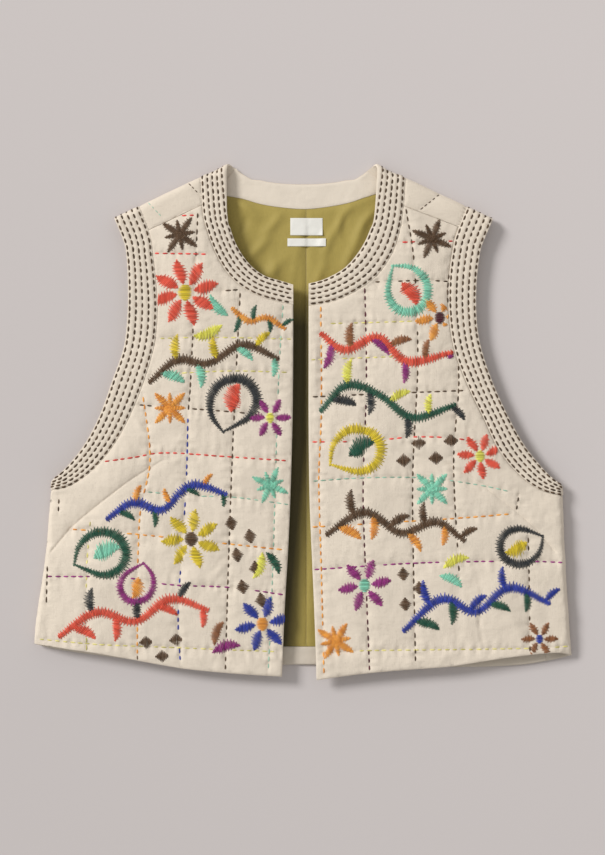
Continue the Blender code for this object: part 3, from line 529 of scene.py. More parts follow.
def outline_of(bm):
    """The points round the outside of a node, in order."""
    ahead = {}
    for face in bm.faces:
        if face.material_index == OUTSIDE:
            for loop in face.loops:
                if loop.link_loop_radial_next.face.material_index != OUTSIDE:
                    ahead[loop.vert] = loop.link_loop_next.vert
    ring = [next(iter(ahead))]
    for _ in range(len(ahead) - 1):
        ring.append(ahead[ring[-1]])
    return ring


def add_object(name, mesh, paints):
    for paint in paints:
        mesh.materials.append(paint.material)
    obj = bpy.data.objects.new(name, mesh)
    bpy.context.scene.collection.objects.link(obj)
    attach(obj, "root")
    return obj


def refined(node, name, paints, levels, cuts, rounds):
    """A finer, rounded copy of a node, with its seams kept where they are."""
    bm = node_mesh(node)
    crease = bm.edges.layers.float.new("crease_edge")
    for edge in bm.edges:
        sides = [f.material_index for f in edge.link_faces]
        corner = sides == [CUT_EDGE, CUT_EDGE] and edge.calc_face_angle() > 0.6
        if sides[0] != sides[1] or corner:
            edge[crease] = 1.0
    mesh = bpy.data.meshes.new(name)
    bm.to_mesh(mesh)
    bm.free()
    obj = add_object(name, mesh, paints)
    rounder = obj.modifiers.new("Round", "SUBSURF")
    rounder.levels = rounder.render_levels = levels
    bpy.ops.object.select_all(action="DESELECT")
    obj.select_set(True)
    bpy.context.view_layer.objects.active = obj
    bpy.ops.object.modifier_apply(modifier=rounder.name)
    bm = bmesh.new()
    bm.from_mesh(mesh)
    if cuts:
        edges = [e for e in bm.edges if any(f.material_index == OUTSIDE for f in e.link_faces)]
        bmesh.ops.subdivide_edges(bm, edges=edges, cuts=cuts, use_grid_fill=True)
    inner = [v for v in bm.verts if all(f.material_index == OUTSIDE for f in v.link_faces)]
    for _ in range(rounds):
        bmesh.ops.smooth_vert(bm, verts=inner, factor=0.5, use_axis_x=True, use_axis_y=True, use_axis_z=True)
    bm.to_mesh(mesh)
    bm.free()
    return obj


def raised(obj, relief, edge_drop, edge_run):
    """Moves the outside's points along their normals. relief takes the points and normals, in mm."""
    mesh = obj.data
    count = len(mesh.vertices)
    side = np.zeros(len(mesh.polygons), int)
    mesh.polygons.foreach_get("material_index", side)
    outside, border = np.zeros(count, bool), np.zeros(count, bool)
    for polygon in mesh.polygons:
        target = outside if side[polygon.index] == OUTSIDE else border
        target[list(polygon.vertices)] = True
    points, normals = np.zeros(count * 3), np.zeros(count * 3)
    mesh.vertices.foreach_get("co", points)
    mesh.vertex_normals.foreach_get("vector", normals)
    points, normals = points.reshape(-1, 3) / MM, normals.reshape(-1, 3)
    rim = np.flatnonzero(outside & border)
    tree = KDTree(len(rim))
    for index, vertex in enumerate(rim):
        tree.insert(points[vertex], index)
    tree.balance()
    moved = np.flatnonzero(outside)
    from_rim = np.array([tree.find(points[v])[2] for v in moved])
    # a rim point's normal leans outwards, so it takes the one of the skin beside it
    skin = np.flatnonzero(outside & ~border)
    near = KDTree(len(skin))
    for index, vertex in enumerate(skin):
        near.insert(points[vertex], index)
    near.balance()
    for vertex in rim:
        normals[vertex] = normals[skin[near.find(points[vertex])[1]]]
    height = relief(points[moved], normals[moved], from_rim)
    height -= edge_drop * (1 - np.clip(from_rim / edge_run, 0, 1)) ** 2
    # the outside never sinks to the inside
    inner_faces = [tuple(p.vertices) for p in mesh.polygons if side[p.index] == INSIDE]
    inner = BVHTree.FromPolygons(points.tolist(), inner_faces)
    room = [inner.ray_cast(Vector(points[v]), Vector(-normals[v]))[3] for v in moved]
    height = np.maximum(height, [THINNEST - depth if depth else DEEPEST for depth in room])
    points[moved] += normals[moved] * height[:, None]
    mesh.vertices.foreach_set("co", (points * MM).ravel())
    mesh.set_sharp_from_angle(angle=CLOTH_CORNER)
    mesh.update()


def inside(ring, points):
    """True for each flat point that the ring holds."""
    a, b = ring[None], np.roll(ring, -1, axis=0)[None]
    x, y = points[:, 0, None], points[:, 1, None]
    spans = (a[..., 1] > y) != (b[..., 1] > y)
    rise = np.where(a[..., 1] == b[..., 1], 1e-9, b[..., 1] - a[..., 1])
    return (spans & (x < a[..., 0] + (y - a[..., 1]) * (b[..., 0] - a[..., 0]) / rise)).sum(1) % 2 == 1


RESTING = 0.1  # mm between a label and the lining under it
THIN_SHEET = 0.15  # mm that a thin piece keeps, however deep its relief
THIN_EDGE = 1.2  # mm over which the edge of a thin piece rolls down


def laid_sheet(node, name, finish, wall, step, relief, edge_drop, ground=None, longer=None):
    """A flat piece as an even mesh over its node's outline, or on a ground.

    relief lifts its upper side, and longer stretches its outline, both in mm.
    """
    bm = node_mesh(node, True)
    ring = np.array([v.co / MM for v in outline_of(bm)])
    if longer:
        ring[:, 1] += longer(ring)
    tree = BVHTree.FromBMesh(bm)
    bm.free()
    closed = np.vstack([ring, ring[:1]])
    lengths = arc_lengths(closed)
    places = []
    for a, b in zip(lengths, lengths[1:]):
        places.append(np.linspace(a, b, max(1, round((b - a) / step)), endpoint=False))
    ring = along(closed, lengths, np.concatenate(places))
    flat = ring[:, :2]
    ahead = np.roll(flat, -1, axis=0) - np.roll(flat, 1, axis=0)
    ahead /= np.linalg.norm(ahead, axis=1)[:, None]
    inset = flat + np.stack([-ahead[:, 1], ahead[:, 0]], axis=1) * min(1.1, step * 0.6)
    low, high = flat.min(0), flat.max(0)
    rows = np.arange(low[1], high[1], step)
    columns = np.arange(low[0], high[0], step)
    grid = np.array([(x + i % 2 * step / 2, y) for i, y in enumerate(rows) for x in columns])
    path = np.vstack([flat, flat[:1]])
    grid = grid[inside(flat, grid)]
    grid = grid[to_path(path, grid) > step * 0.9]
    inset = inset[inside(flat, inset)]
    inset = inset[to_path(path, inset) > step * 0.4]
    every = [Vector(p) for p in np.vstack([flat, inset, grid])]
    edges = [(i, (i + 1) % len(flat)) for i in range(len(flat))]
    made = delaunay_2d_cdt(every, edges, [], 1, 1e-5)
    top = np.array([tuple(v) for v in made[0]])
    faces = [tuple(f) for f in made[2]]
    from_rim = to_path(path, top)
    height = []
    for (x, y), away in zip(top, from_rim):
        hit = tree.ray_cast(Vector((x, y, OVER_ALL)) * MM, DOWNWARDS)[0] if away > 0.01 else None
        height.append(hit.z / MM if hit else ring[np.hypot(flat[:, 0] - x, flat[:, 1] - y).argmin(), 2])
    height = np.array(height)
    if ground:
        around = [(i, j) for i in (-5, -2.5, 0, 2.5, 5) for j in (-3, 0, 3)]
        below = [[ground.top(x + i, y + j)[0] for i, j in around] for x, y in top]
        height = np.array([max(hit.z for hit in hits if hit) for hits in below]) + wall + RESTING
    drop = edge_drop * (1 - np.clip(from_rim / THIN_EDGE, 0, 1)) ** 2
    upper = np.maximum(height + relief(top, from_rim) - drop, height - wall + THIN_SHEET)
    points = np.vstack([np.c_[top, upper], np.c_[top, height - wall]])
    count = len(top)
    once = {(a, b) for f in faces for a, b in zip(f, f[1:] + f[:1])}
    sides = [(b, a, a + count, b + count) for a, b in once if (b, a) not in once]
    faces += [tuple(i + count for i in face[::-1]) for face in faces] + sorted(sides)
    mesh = bpy.data.meshes.new(name)
    mesh.from_pydata((points * MM).tolist(), [], faces)
    mesh.shade_smooth()
    mesh.set_sharp_from_angle(angle=THIN_CORNER)
    return add_object(name, mesh, [finish])


def front_relief(side):
    """The quilting's grooves and puckers, and the creases of a front."""
    settings = cloth()
    groove, pucker, crease = settings.groove / MM, settings.pucker / MM, settings.crease / MM

    def relief(points, normals, from_rim):
        flat = points[:, :2]
        # each line lies in a narrow groove, at the bottom of a wider one
        down = to_lines(DOWN_LINES[side], side, flat)
        across = to_lines(ACROSS_LINES[side], side, flat)
        nearest = np.minimum(down, across)
        height = -groove * (np.exp(-((nearest / 1.5) ** 2)) + 0.45 * np.exp(-((nearest / 4.0) ** 2)))
        # puckers run across the lines that pull them
        beside_down = rough(flat, 26, 5.5, 3.1 + side) * np.exp(-down / 7.0)
        beside_across = rough(flat, 5.5, 26, 8.7 + side) * np.exp(-across / 7.0)
        height += pucker * 2.0 * (beside_down + beside_across)
        # wide creases, finer ones and the cloth's own unevenness
        height += crease * rough(flat, 46, 34, 5.2) + 0.7 * crease * rough(flat, 17, 14, 9.4)
        height += 0.3 * rough(flat, 5, 7, 1.7)
        height += 1.5 * creased(flat, FRONT_CREASES)
        # the dart's seam is sunk, and the cloth stands a little higher below it
        dart = smooth([(side * x, y) for x, y in DART], 6)
        off = to_path(dart, flat)
        level = np.interp(side * flat[:, 0], [x for x, _ in DART], [y for _, y in DART])
        step = np.where(flat[:, 1] < level, 0.35, -0.2) * np.exp(-off / 6)
        height += step - 0.6 * np.exp(-((off / 1.2) ** 2))
        return height * ease(from_rim, -1.5, 5.0)

    return relief


def waves(points, scale):
    return rough(points, scale, scale * 0.8, 2.3) + 0.4 * rough(points, scale / 3, scale / 3, 6.1)


def lining_relief(points, from_rim):
    folds = 1.3 * rough(points, 50, 62, 2.3) + 0.8 * rough(points, 17, 30, 6.1)
    folds += 0.25 * rough(points, 6, 8, 1.2)
    return (folds + creased(points, LINING_CREASES) + 0.6) * ease(from_rim, 0, 7)


def facing_relief(points, from_rim):
    """Small waves, and the neck facing's ends run out flush under the neck band."""
    small_waves = 0.55 * waves(points, 15) * ease(from_rim, 0, 3)
    return small_waves - 0.85 * ease(np.abs(points[:, 0]), 60, 76) * ease(points[:, 1], 236, 254)


def facing_ends(points):
    """The neck facing's ends reach up into the fold of the neck band."""
    return 6.5 * ease(np.abs(points[:, 0]), 66, 77) * ease(points[:, 1], 238, 250)


def label_relief(points, from_rim):
    return 0.3 * waves(points, 11) * ease(from_rim, 0, 2)


class ThreadMesh:
    """Gathers stitches, each a short closed tube, into one mesh with a tone for each stitch."""

    def __init__(self, seed):
        self.points, self.faces, self.slots, self.tones = [], [], [], []
        self.colours = []
        self.random = random.Random(seed)

    def stitch(self, centre, up, width, shade, sides=6):
        """A tube along the centre points, in mm, that narrows towards its ends."""
        centre, up = np.asarray(centre, float), np.asarray(up, float)
        ahead = np.gradient(centre, axis=0)
        across = np.cross(ahead, up)
        across /= np.linalg.norm(across, axis=1)[:, None] + 1e-12
        rise = np.cross(across, ahead)
        rise /= np.linalg.norm(rise, axis=1)[:, None] + 1e-12
        rings = len(centre)
        taper = THREAD_END + (1 - THREAD_END) * np.sin(np.linspace(0, np.pi, rings)) ** 0.5
        first = len(self.points)
        for k in range(rings):
            for j in range(sides):
                angle = math.tau * (j + 0.5) / sides
                offset = across[k] * math.cos(angle) * width / 2
                offset = offset + rise[k] * math.sin(angle) * (width * THREAD_FLATNESS) / 2
                self.points.append(centre[k] + offset * taper[k])
        if shade not in self.colours:
            self.colours.append(shade)
        made = []
        for k in range(rings - 1):
            for j in range(sides):
                a, b = first + k * sides + j, first + k * sides + (j + 1) % sides
                made.append((a, b, b + sides, a + sides))
        made.append(tuple(first + j for j in reversed(range(sides))))
        made.append(tuple(first + (rings - 1) * sides + j for j in range(sides)))
        self.faces += made
        self.slots += [self.colours.index(shade)] * len(made)
        self.tones += [self.random.random()] * (rings * sides)

    def build(self, name):
        mesh = bpy.data.meshes.new(name)
        mesh.from_pydata((np.array(self.points) * MM).tolist(), [], self.faces)
        mesh.polygons.foreach_set("material_index", self.slots)
        tone = mesh.attributes.new("tone", "FLOAT", "POINT")
        tone.data.foreach_set("value", self.tones)
        bm = bmesh.new()
        bm.from_mesh(mesh)
        bmesh.ops.recalc_face_normals(bm, faces=bm.faces)
        bm.to_mesh(mesh)
        bm.free()
        mesh.shade_smooth()
        return add_object(name, mesh, [paint(shade) for shade in self.colours])


class Ground:
    """The top of some cloth, which stitches are laid on."""

    def __init__(self, *objects):
        points, faces = [], []
        for obj in objects:
            first = len(points)
            points += [v.co / MM for v in obj.data.vertices]
            faces += [[first + v for v in p.vertices] for p in obj.data.polygons]
        self.tree = BVHTree.FromPolygons(points, faces)

    def top(self, x, y):
        return self.tree.ray_cast(Vector((x, y, OVER_ALL)), DOWNWARDS)

    def at(self, x, y):
        """The highest point over a place and its normal, or None."""
        hit, normal, _, _ = self.top(x, y)
        if hit is None or normal.z < STEEPEST or hit.z < LOWEST_GROUND:
            return None
        return np.array(hit), np.array(normal)


made_paints = {}


def paint(name):
    """A finish, made when it is first asked for."""
    if name in made_paints:
        return made_paints[name]
    c = cloth()
    ecru, facing, olive, tape = (tuple(rgb) for rgb in (c.ecru, c.facing, c.olive, c.tape))
    if name == "shell":
        made = cotton("shell_cotton", ecru)
    elif name == "band":
        made = cotton("band_cotton", ecru, flecks=0.3)
    elif name == "facing":
        made = cotton("facing_cotton", facing, flecks=0.15, relief=0.00012)
        base = Value(made, made.shader.inputs["Base Color"].links[0].from_socket)
        # painted shade: a little darker at the hem, in the depth of the opening under the fronts
        hem_shade = made.step(made.axes()[1], -0.1, -0.2) * 0.16
        made.finish("Base Color", made.mix(hem_shade, base, (0.0, 0.0, 0.0)))
    elif name == "lining":
        made = lining_cotton("lining_cotton", olive)
    elif name == "front_inside":
        made = inner_side("front_inside", olive, facing)
    elif name == "tape":
        finish = {"pitch": 0.0005, "roughness": 0.6, "flecks": 0.0, "relief": 0.00006}
        made = cotton("label_tape", tape, **finish)
    else:
        made = thread_paint("thread_" + name, tuple(getattr(threads(), name)))
    made_paints[name] = made
    return made


def run_stitches(out, ground, shade, path, cover=None, share=1.0):
    """Running stitches along a flat path, but none under the embroidery. share makes them finer."""
    settings = threads()
    dash, pitch, width = [size / MM * share for size in (settings.dash, settings.pitch, settings.thread)]
    if shade.startswith("pale"):
        width *= 0.75
    lengths = arc_lengths(path)
    at = out.random.uniform(0.5, pitch * 0.6)
    while at + dash < lengths[-1]:
        size = dash * out.random.uniform(0.82, 1.12)
        places = along(path, lengths, np.linspace(at, at + size, 5))
        hits = [ground.at(x, y) for x, y in places]
        covered = cover and any(cover.top(x, y)[0] for x, y in places)
        if all(hits) and not covered:
            lift = RUNNING_LIFT * width
            centre = [hit[0] + hit[1] * up for hit, up in zip(hits, lift)]
            out.stitch(centre, [hit[1] for hit in hits], width, shade)
        at += pitch * out.random.uniform(0.93, 1.07)


def satin_row(out, ground, starts, finishes, shade, height=None):
    """Satin stitches from each start to its finish, arched over the cloth."""
    settings = threads()
    width = settings.satin / MM
    high = settings.satin_height / MM if height is None else height
    for start, finish in zip(starts, finishes):
        places = [start + (finish - start) * t for t in (0.0, 0.5, 1.0)]
        hits = [ground.at(*p) for p in places]
        if not all(hits):
            continue
        (a, na), (m, nm), (b, nb) = hits
        span = float(np.linalg.norm(b - a))
        arch = high * min(1.0, span / FULL_ARCH)
        centre = [a - na * SATIN_DIP, (a + m) / 2 + na * arch * SATIN_SHOULDER, m + nm * arch]
        centre += [(m + b) / 2 + nb * arch * SATIN_SHOULDER, b - nb * SATIN_DIP]
        out.stitch(centre, [na, na, nm, nb, nb], width, shade, sides=5)


def column(out, ground, points, widths, shade, slant=0.12, ragged=0.16):
    """A column of satin stitches along a path, with uneven ends. widths are given along its length."""
    path = smooth(points, 1.0)
    lengths = arc_lengths(path)
    pitch = threads().satin_pitch / MM
    at = np.arange(0.3, lengths[-1], pitch)
    middle = along(path, lengths, at)
    before, after = np.maximum(at - 0.6, 0), np.minimum(at + 0.6, lengths[-1])
    ahead = along(path, lengths, after) - along(path, lengths, before)
    ahead /= np.linalg.norm(ahead, axis=1)[:, None]
    across = np.stack([-ahead[:, 1], ahead[:, 0]], axis=1) + ahead * slant
    width = np.interp(at / lengths[-1], np.linspace(0, 1, len(widths)), widths)
    left, right = [], []
    for i, (m, a, w) in enumerate(zip(middle, across, width)):
        # long and short stitches by turns
        tooth = 1.25 * ragged if i % 2 else -1.25 * ragged
        left.append(m - a * w / 2 * (1 + tooth + out.random.uniform(-ragged, ragged) / 2))
        right.append(m + a * w / 2 * (1 + tooth + out.random.uniform(-ragged, ragged) / 2))
    satin_row(out, ground, left, right, shade)


def turned(angle):
    a = math.radians(angle)
    return np.array((math.cos(a), math.sin(a)))


def leaf(out, ground, x, y, angle, size, shade, plump=0.42, bend=0.12):
    """A leaf from its stem end, filled with satin stitches."""
    axis, side = turned(angle), turned(angle + 90)
    start = np.array((x, y))
    steps = (0, 0.25, 0.5, 0.75, 1)
    spine = [start + axis * size * t + side * size * bend * math.sin(math.pi * t) for t in steps]
    width = size * plump
    column(out, ground, spine, [1.4, width * 0.85, width, width * 0.8, 1.6], shade, slant=0.3, ragged=0.13)


def daisy(out, ground, x, y, angle, size, shade, heart, petals=6):
    """A flower of leaf-shaped petals around a round heart."""
    for i in range(petals):
        turn = angle + 360 * i / petals
        start = np.array((x, y)) + turned(turn) * size * 0.26
        leaf(out, ground, *start, turn, size * 0.74, shade, plump=0.58, bend=0.0)
    disc(out, ground, x, y, size * 0.24, heart)


def disc(out, ground, x, y, radius, shade):
    """A filled round."""
    rows = np.arange(-radius + 0.5, radius, threads().satin_pitch / MM)
    reach = np.sqrt(np.maximum(radius**2 - rows**2, 0.3))
    starts = [np.array((x - r, y + v)) for r, v in zip(reach, rows)]
    finishes = [np.array((x + r, y + v)) for r, v in zip(reach, rows)]
    satin_row(out, ground, starts, finishes, shade)


def star(out, ground, x, y, angle, size, shade, points=8):
    """A star of narrow arms."""
    for i in range(points):
        turn = angle + 360 * i / points
        leaf(out, ground, x, y, turn, size * (1.0 if i % 2 else 0.72), shade, plump=0.4, bend=0.0)


def paisley(out, ground, x, y, angle, size, shade, heart):
    """A curled drop with a filled heart."""
    along_it, side = turned(angle), turned(angle + 90)
    base = np.array((x, y))
    points = [base + (along_it * u + side * v) * size for u, v in DROP]
    column(out, ground, points, [2.5, size * 0.17, size * 0.2, size * 0.17, 2.5], shade, slant=0.1)
    low_end = base + along_it * size * 0.36 + side * size * 0.02
    leaf(out, ground, *low_end, angle + 4, size * 0.48, heart, plump=0.66)


def sprig(out, ground, points, shade, leaves, leaf_shades, width=11.0, size=28.0):
    """A curved stem with leaves on both sides by turns."""
    widths = [width * 0.6, width, width * 0.8, width, width * 0.5]
    column(out, ground, points, widths, shade, slant=0.1, ragged=0.19)
    path = smooth(points, 1.0)
    lengths = arc_lengths(path)
    for i in range(leaves):
        at = lengths[-1] * (i + 0.7) / leaves
        here = along(path, lengths, np.array([at, min(at + 1.0, lengths[-1] + 0.01)]))
        behind = along(path, lengths, np.array([max(at - 1.0, 0.0)]))[0]
        ahead = here[0] - behind
        heading = math.degrees(math.atan2(ahead[1], ahead[0]))
        side = 66 if i % 2 else -66
        leaf_size, leaf_shade = size * (1.0 - 0.3 * i / leaves), leaf_shades[i % len(leaf_shades)]
        leaf(out, ground, *here[0], heading + side, leaf_size, leaf_shade, bend=0.1)


def diamonds(out, ground, x, y, angle, count, size, shade):
    """A zigzag row of filled diamonds."""
    along_it, side = turned(angle), turned(angle + 90)
    for i in range(count):
        middle = np.array((x, y)) + along_it * size * 1.12 * i + side * size * (0.56 if i % 2 else -0.56)
        rows = np.arange(-size / 2 + 0.5, size / 2, threads().satin_pitch / MM)
        reach = size / 2 - np.abs(rows) + 0.8
        starts = [middle + along_it * v - side * r for r, v in zip(reach, rows)]
        finishes = [middle + along_it * v + side * r for r, v in zip(reach, rows)]
        satin_row(out, ground, starts, finishes, shade, height=0.55)


# Embroidery of each front: what, then its numbers and threads. x runs to the right of the view, in mm.
EMBROIDERY = {
    LEFT: [
        (sprig, [(-160, 40), (-130, 64), (-98, 60), (-62, 80), (-24, 64)], "brown", 7, ["mint", "mustard"]),
        (daisy, -122, 134, 15, 35, "coral", "mustard", 8),
        (star, -128, 194, 10, 22, "brown"),
        (leaf, -84, 100, 200, 32, "lemon"),
        (leaf, -78, 110, 130, 28, "mint"),
        (sprig, [(-74, 118), (-56, 104), (-38, 108), (-18, 96)], "orange", 4, ["forest"], 8, 18),
        (paisley, -82, -12, 68, 64, "charcoal", "coral"),
        (daisy, -34, 4, 0, 22, "magenta", "lemon"),
        (star, -138, 14, 0, 22, "orange"),
        (
            sprig,
            [(-204, -102), (-176, -84), (-146, -92), (-116, -66), (-78, -76)],
            "royal", 7, ["forest", "orange"], 11, 20,
        ),
        (diamonds, -66, -104, -80, 6, 15, "brown"),
        (star, -34, -66, 20, 20, "mint"),
        (paisley, -238, -150, 18, 62, "forest", "mint"),
        (daisy, -116, -122, 30, 31, "mustard", "brown", 7),
        (paisley, -166, -146, 250, 46, "magenta", "orange"),
        (
            sprig,
            [(-254, -224), (-214, -198), (-174, -208), (-138, -184), (-98, -196)],
            "coral", 7, ["coral", "charcoal"],
        ),
        (daisy, -42, -210, 12, 29, "royal", "orange"),
        (leaf, -94, -240, 14, 30, "magenta"),
        (leaf, -92, -232, 68, 26, "tan"),
        (leaf, -42, -136, 250, 28, "lemon"),
        (leaf, -38, -136, 300, 26, "forest"),
        (diamonds, -178, -238, 4, 4, 14, "brown"),
    ],
    RIGHT: [
        (paisley, 92, 162, -62, 58, "mint", "coral"),
        (star, 134, 190, 22, 22, "brown"),
        (daisy, 142, 108, 8, 26, "orange", "maroon"),
        (sprig, [(18, 92), (44, 74), (78, 88), (108, 62), (156, 72)], "coral", 7, ["magenta", "tan"]),
        (sprig, [(18, 10), (46, 38), (82, 26), (114, 4), (160, 18)], "forest", 7, ["charcoal", "lemon"]),
        (paisley, 28, -46, 24, 62, "mustard", "forest"),
        (diamonds, 104, -32, 4, 4, 15, "brown"),
        (daisy, 184, -36, 20, 24, "coral", "lemon", 7),
        (star, 134, -70, 0, 22, "mint"),
        (
            sprig,
            [(24, -118), (64, -94), (102, -116), (138, -104), (168, -124)],
            "brown", 8, ["orange", "brown"],
        ),
        (paisley, 250, -118, 200, 52, "charcoal", "mustard"),
        (daisy, 64, -170, 10, 28, "magenta", "mint"),
        (
            sprig,
            [(104, -218), (144, -184), (180, -198), (214, -172), (258, -190)],
            "royal", 8, ["forest", "royal"],
        ),
        (star, 34, -228, 12, 22, "orange"),
        (leaf, 146, -152, 22, 28, "lemon"),
        (leaf, 142, -160, -28, 26, "mint"),
        (diamonds, 112, -158, -86, 3, 14, "brown"),
        (daisy, 246, -226, 0, 19, "tan", "royal"),
    ],
}

# Where a node's rows of points lie across a band, and how many points its two sides get
BAND_SHARES = (0.0, 0.14, 0.86, 1.0)
BAND_ACROSS, BAND_INNER = 31, 7
BAND_STEP = 1.5  # mm from one row of points to the next along a band
# Shares of the width at which the outermost rows of stitches lie, and the share between them
FIRST_ROW, LAST_ROW, ALL_ROWS = 0.07, 0.93, 0.86
ROWS_MOVED = 0.13  # how far the neck's first row moves in at the shoulders, as a share of the width
BAND_PUFF = 0.25  # mm that the cloth rises between the rows
CHANNEL, RIPPLE, CHANNEL_WIDTH = 0.62, 0.22, 1.15  # mm: a row's depth, its change along it, its width
BAND_EDGE = 1.8  # mm over which a band's edges roll down
FLOOR_GAP = 0.3  # mm from the floor to a band's inner wall
UNDERSIDE_SINK = 1.05  # mm that the stitches of a band's underside are pulled in, off the floor
NECK_TOP, NECK_TURN = 268, 38  # mm: where the neck band turns over at the shoulders, and how far round it


def band_rows(node):
    """The four rows of points along a band's outside, free edge first, and the sign of its normals."""
    bm = node_mesh(node)
    ring = outline_of(bm)
    rim = set(ring)
    skin = [v for v in bm.verts if v not in rim and all(f.material_index == OUTSIDE for f in v.link_faces)]
    inner = np.array([v.co / MM for v in skin])
    points = np.array([v.co / MM for v in ring])
    bm.free()
    ahead_of = np.roll(points, -1, axis=0) - points
    ahead_of /= np.linalg.norm(ahead_of, axis=1)[:, None]
    corner = (ahead_of * np.roll(ahead_of, 1, axis=0)).sum(1) < 0.77
    end_row = corner & np.roll(corner, -3) & ~np.roll(corner, -1) & ~np.roll(corner, -2)
    points = np.roll(points, -int(np.flatnonzero(end_row)[0]), axis=0)
    count = (len(points) - 4) // 2
    seam = points[3 : 3 + count]
    free = np.vstack([points[:1], points[5 + count :][::-1]])
    rows = [free]
    for share in BAND_SHARES[1:3]:
        row = free + (seam - free) * share
        for i, guess in enumerate(row):
            away = np.linalg.norm(inner - guess, axis=1)
            if away.min() < 3.0:
                row[i] = inner[away.argmin()]
        rows.append(row)
    rows[1][0], rows[2][0] = points[1], points[2]
    rows[1][-1], rows[2][-1] = points[4 + count], points[3 + count]
    rows.append(seam)
    return (rows[::-1], -1) if seam[0][1] > free[0][1] else (rows, 1)


class Band:
    """A stitched band as a grid of points, along it and across it from its free edge."""

    def __init__(self, node):
        rows, sign = band_rows(node)
        lengths = arc_lengths((rows[0] + rows[3]) / 2)
        count = round(lengths[-1] / BAND_STEP) + 1
        stations = np.interp(np.linspace(0, lengths[-1], count), lengths, np.arange(len(lengths)))
        lines = np.stack([spline_at(row, stations) for row in rows])
        outward = lines[3] - lines[2]
        lines[3] += OVERLAP * outward / np.linalg.norm(outward, axis=1)[:, None]
        shares = np.linspace(0, 1, BAND_ACROSS)
        weights = np.array([[np.interp(s, BAND_SHARES, one) for one in np.eye(4)] for s in shares])
        base = np.einsum("sk,ktc->tsc", weights, lines)
        up = sign * np.cross(np.gradient(base, axis=1), np.gradient(base, axis=0))
        up /= np.linalg.norm(up, axis=2)[..., None]
        width = np.linalg.norm(lines[3] - lines[0], axis=1)[:, None]
        off = width * shares
        run = np.linspace(0, lengths[-1], count)[:, None]
        settings = threads()
        rows_apart = np.linspace(FIRST_ROW, LAST_ROW, settings.band_rows)
        margin = 0 * base[:, 0, 1]
        if node == "neck_band":
            # its rows keep off its inner edge there
            margin = ROWS_MOVED * np.exp(-(((base[:, 0, 1] - NECK_TOP) / NECK_TURN) ** 2))
        self.row_shares = [(s + margin * (LAST_ROW - s) / ALL_ROWS)[:, None] for s in rows_apart]
        height = BAND_PUFF + 0 * off
        for k, share in enumerate(self.row_shares):
            pull = CHANNEL + RIPPLE * np.cos(math.tau * run / (settings.band_pitch / MM) + 2.1 * k)
            height -= pull * np.exp(-(((off - share * width) / CHANNEL_WIDTH) ** 2))
        flat = np.stack([(run + 0 * off).ravel(), (off + 300 * sign).ravel()], axis=1)
        height += (0.22 * rough(flat, 5, 3.2, 4.4) + 0.3 * rough(flat, 24, 16, 7.9)).reshape(off.shape)
        height -= cloth().edge / MM * (1 - np.clip(np.minimum(off, width - off) / BAND_EDGE, 0, 1)) ** 2
        under = ease(-up[..., 2], 0.2, 0.8)
        self.under = under
        height = height * (1 - under) + (np.minimum(height, BAND_PUFF) - BAND_PUFF) * under
        self.points = base + up * height[..., None]
        self.up, self.sign = up, sign
        self.inner = (base - up * cloth().wall / MM)[:, :: (BAND_ACROSS - 1) // (BAND_INNER - 1)]
        # nothing reaches under the floor
        self.points[..., 2] = np.maximum(self.points[..., 2], 0.0)
        self.inner[..., 2] = np.maximum(self.inner[..., 2], FLOOR_GAP)

    def build(self, name):
        rows = len(self.points)
        points = np.vstack([self.points.reshape(-1, 3), self.inner.reshape(-1, 3)])
        out = np.arange(rows * BAND_ACROSS).reshape(rows, BAND_ACROSS)
        low = out.size + np.arange(rows * BAND_INNER).reshape(rows, BAND_INNER)
        faces, slots = [], []
        for t in range(rows - 1):
            for s in range(BAND_ACROSS - 1):
                faces.append((out[t, s], out[t, s + 1], out[t + 1, s + 1], out[t + 1, s]))
            for s in range(BAND_INNER - 1):
                faces.append((low[t, s], low[t + 1, s], low[t + 1, s + 1], low[t, s + 1]))
            faces.append((out[t, 0], out[t + 1, 0], low[t + 1, 0], low[t, 0]))
            faces.append((out[t + 1, -1], out[t, -1], low[t, -1], low[t + 1, -1]))
        faces.append((*out[0, ::-1], *low[0]))
        faces.append((*out[-1], *low[-1, ::-1]))
        faces = [tuple(int(i) for i in (face if self.sign > 0 else face[::-1])) for face in faces]
        mesh = bpy.data.meshes.new(name)
        mesh.from_pydata((points * MM).tolist(), [], faces)
        mesh.shade_smooth()
        mesh.set_sharp_from_angle(angle=CLOTH_CORNER)
        return add_object(name, mesh, [paint("band")])

    def stitches(self, out):
        """The rows of running stitches in the band's channels."""
        settings = threads()
        pitch, dash, width = settings.band_pitch / MM, settings.dash / MM, settings.band_thread / MM
        for share in self.row_shares:
            place = share[:, 0] * (BAND_ACROSS - 1)
            low, t = place.astype(int), (place % 1)[:, None]
            grid = np.dstack([self.points, self.up, self.under])
            row = np.arange(len(grid))
            line = grid[row, low] * (1 - t) + grid[row, low + 1] * t
            lengths = arc_lengths(line[:, :3])
            at = out.random.uniform(0.6, pitch * 0.5)
            while at + dash < lengths[-1] - 0.4:
                size = dash * out.random.uniform(0.85, 1.1)
                sampled = along(line, lengths, np.linspace(at, at + size, 5))
                lift = BAND_LIFT * width - sampled[:, 6] * UNDERSIDE_SINK
                centre = sampled[:, :3] + sampled[:, 3:6] * lift[:, None]
                out.stitch(centre, sampled[:, 3:6], width, "bark")
                at += pitch * out.random.uniform(0.95, 1.05)


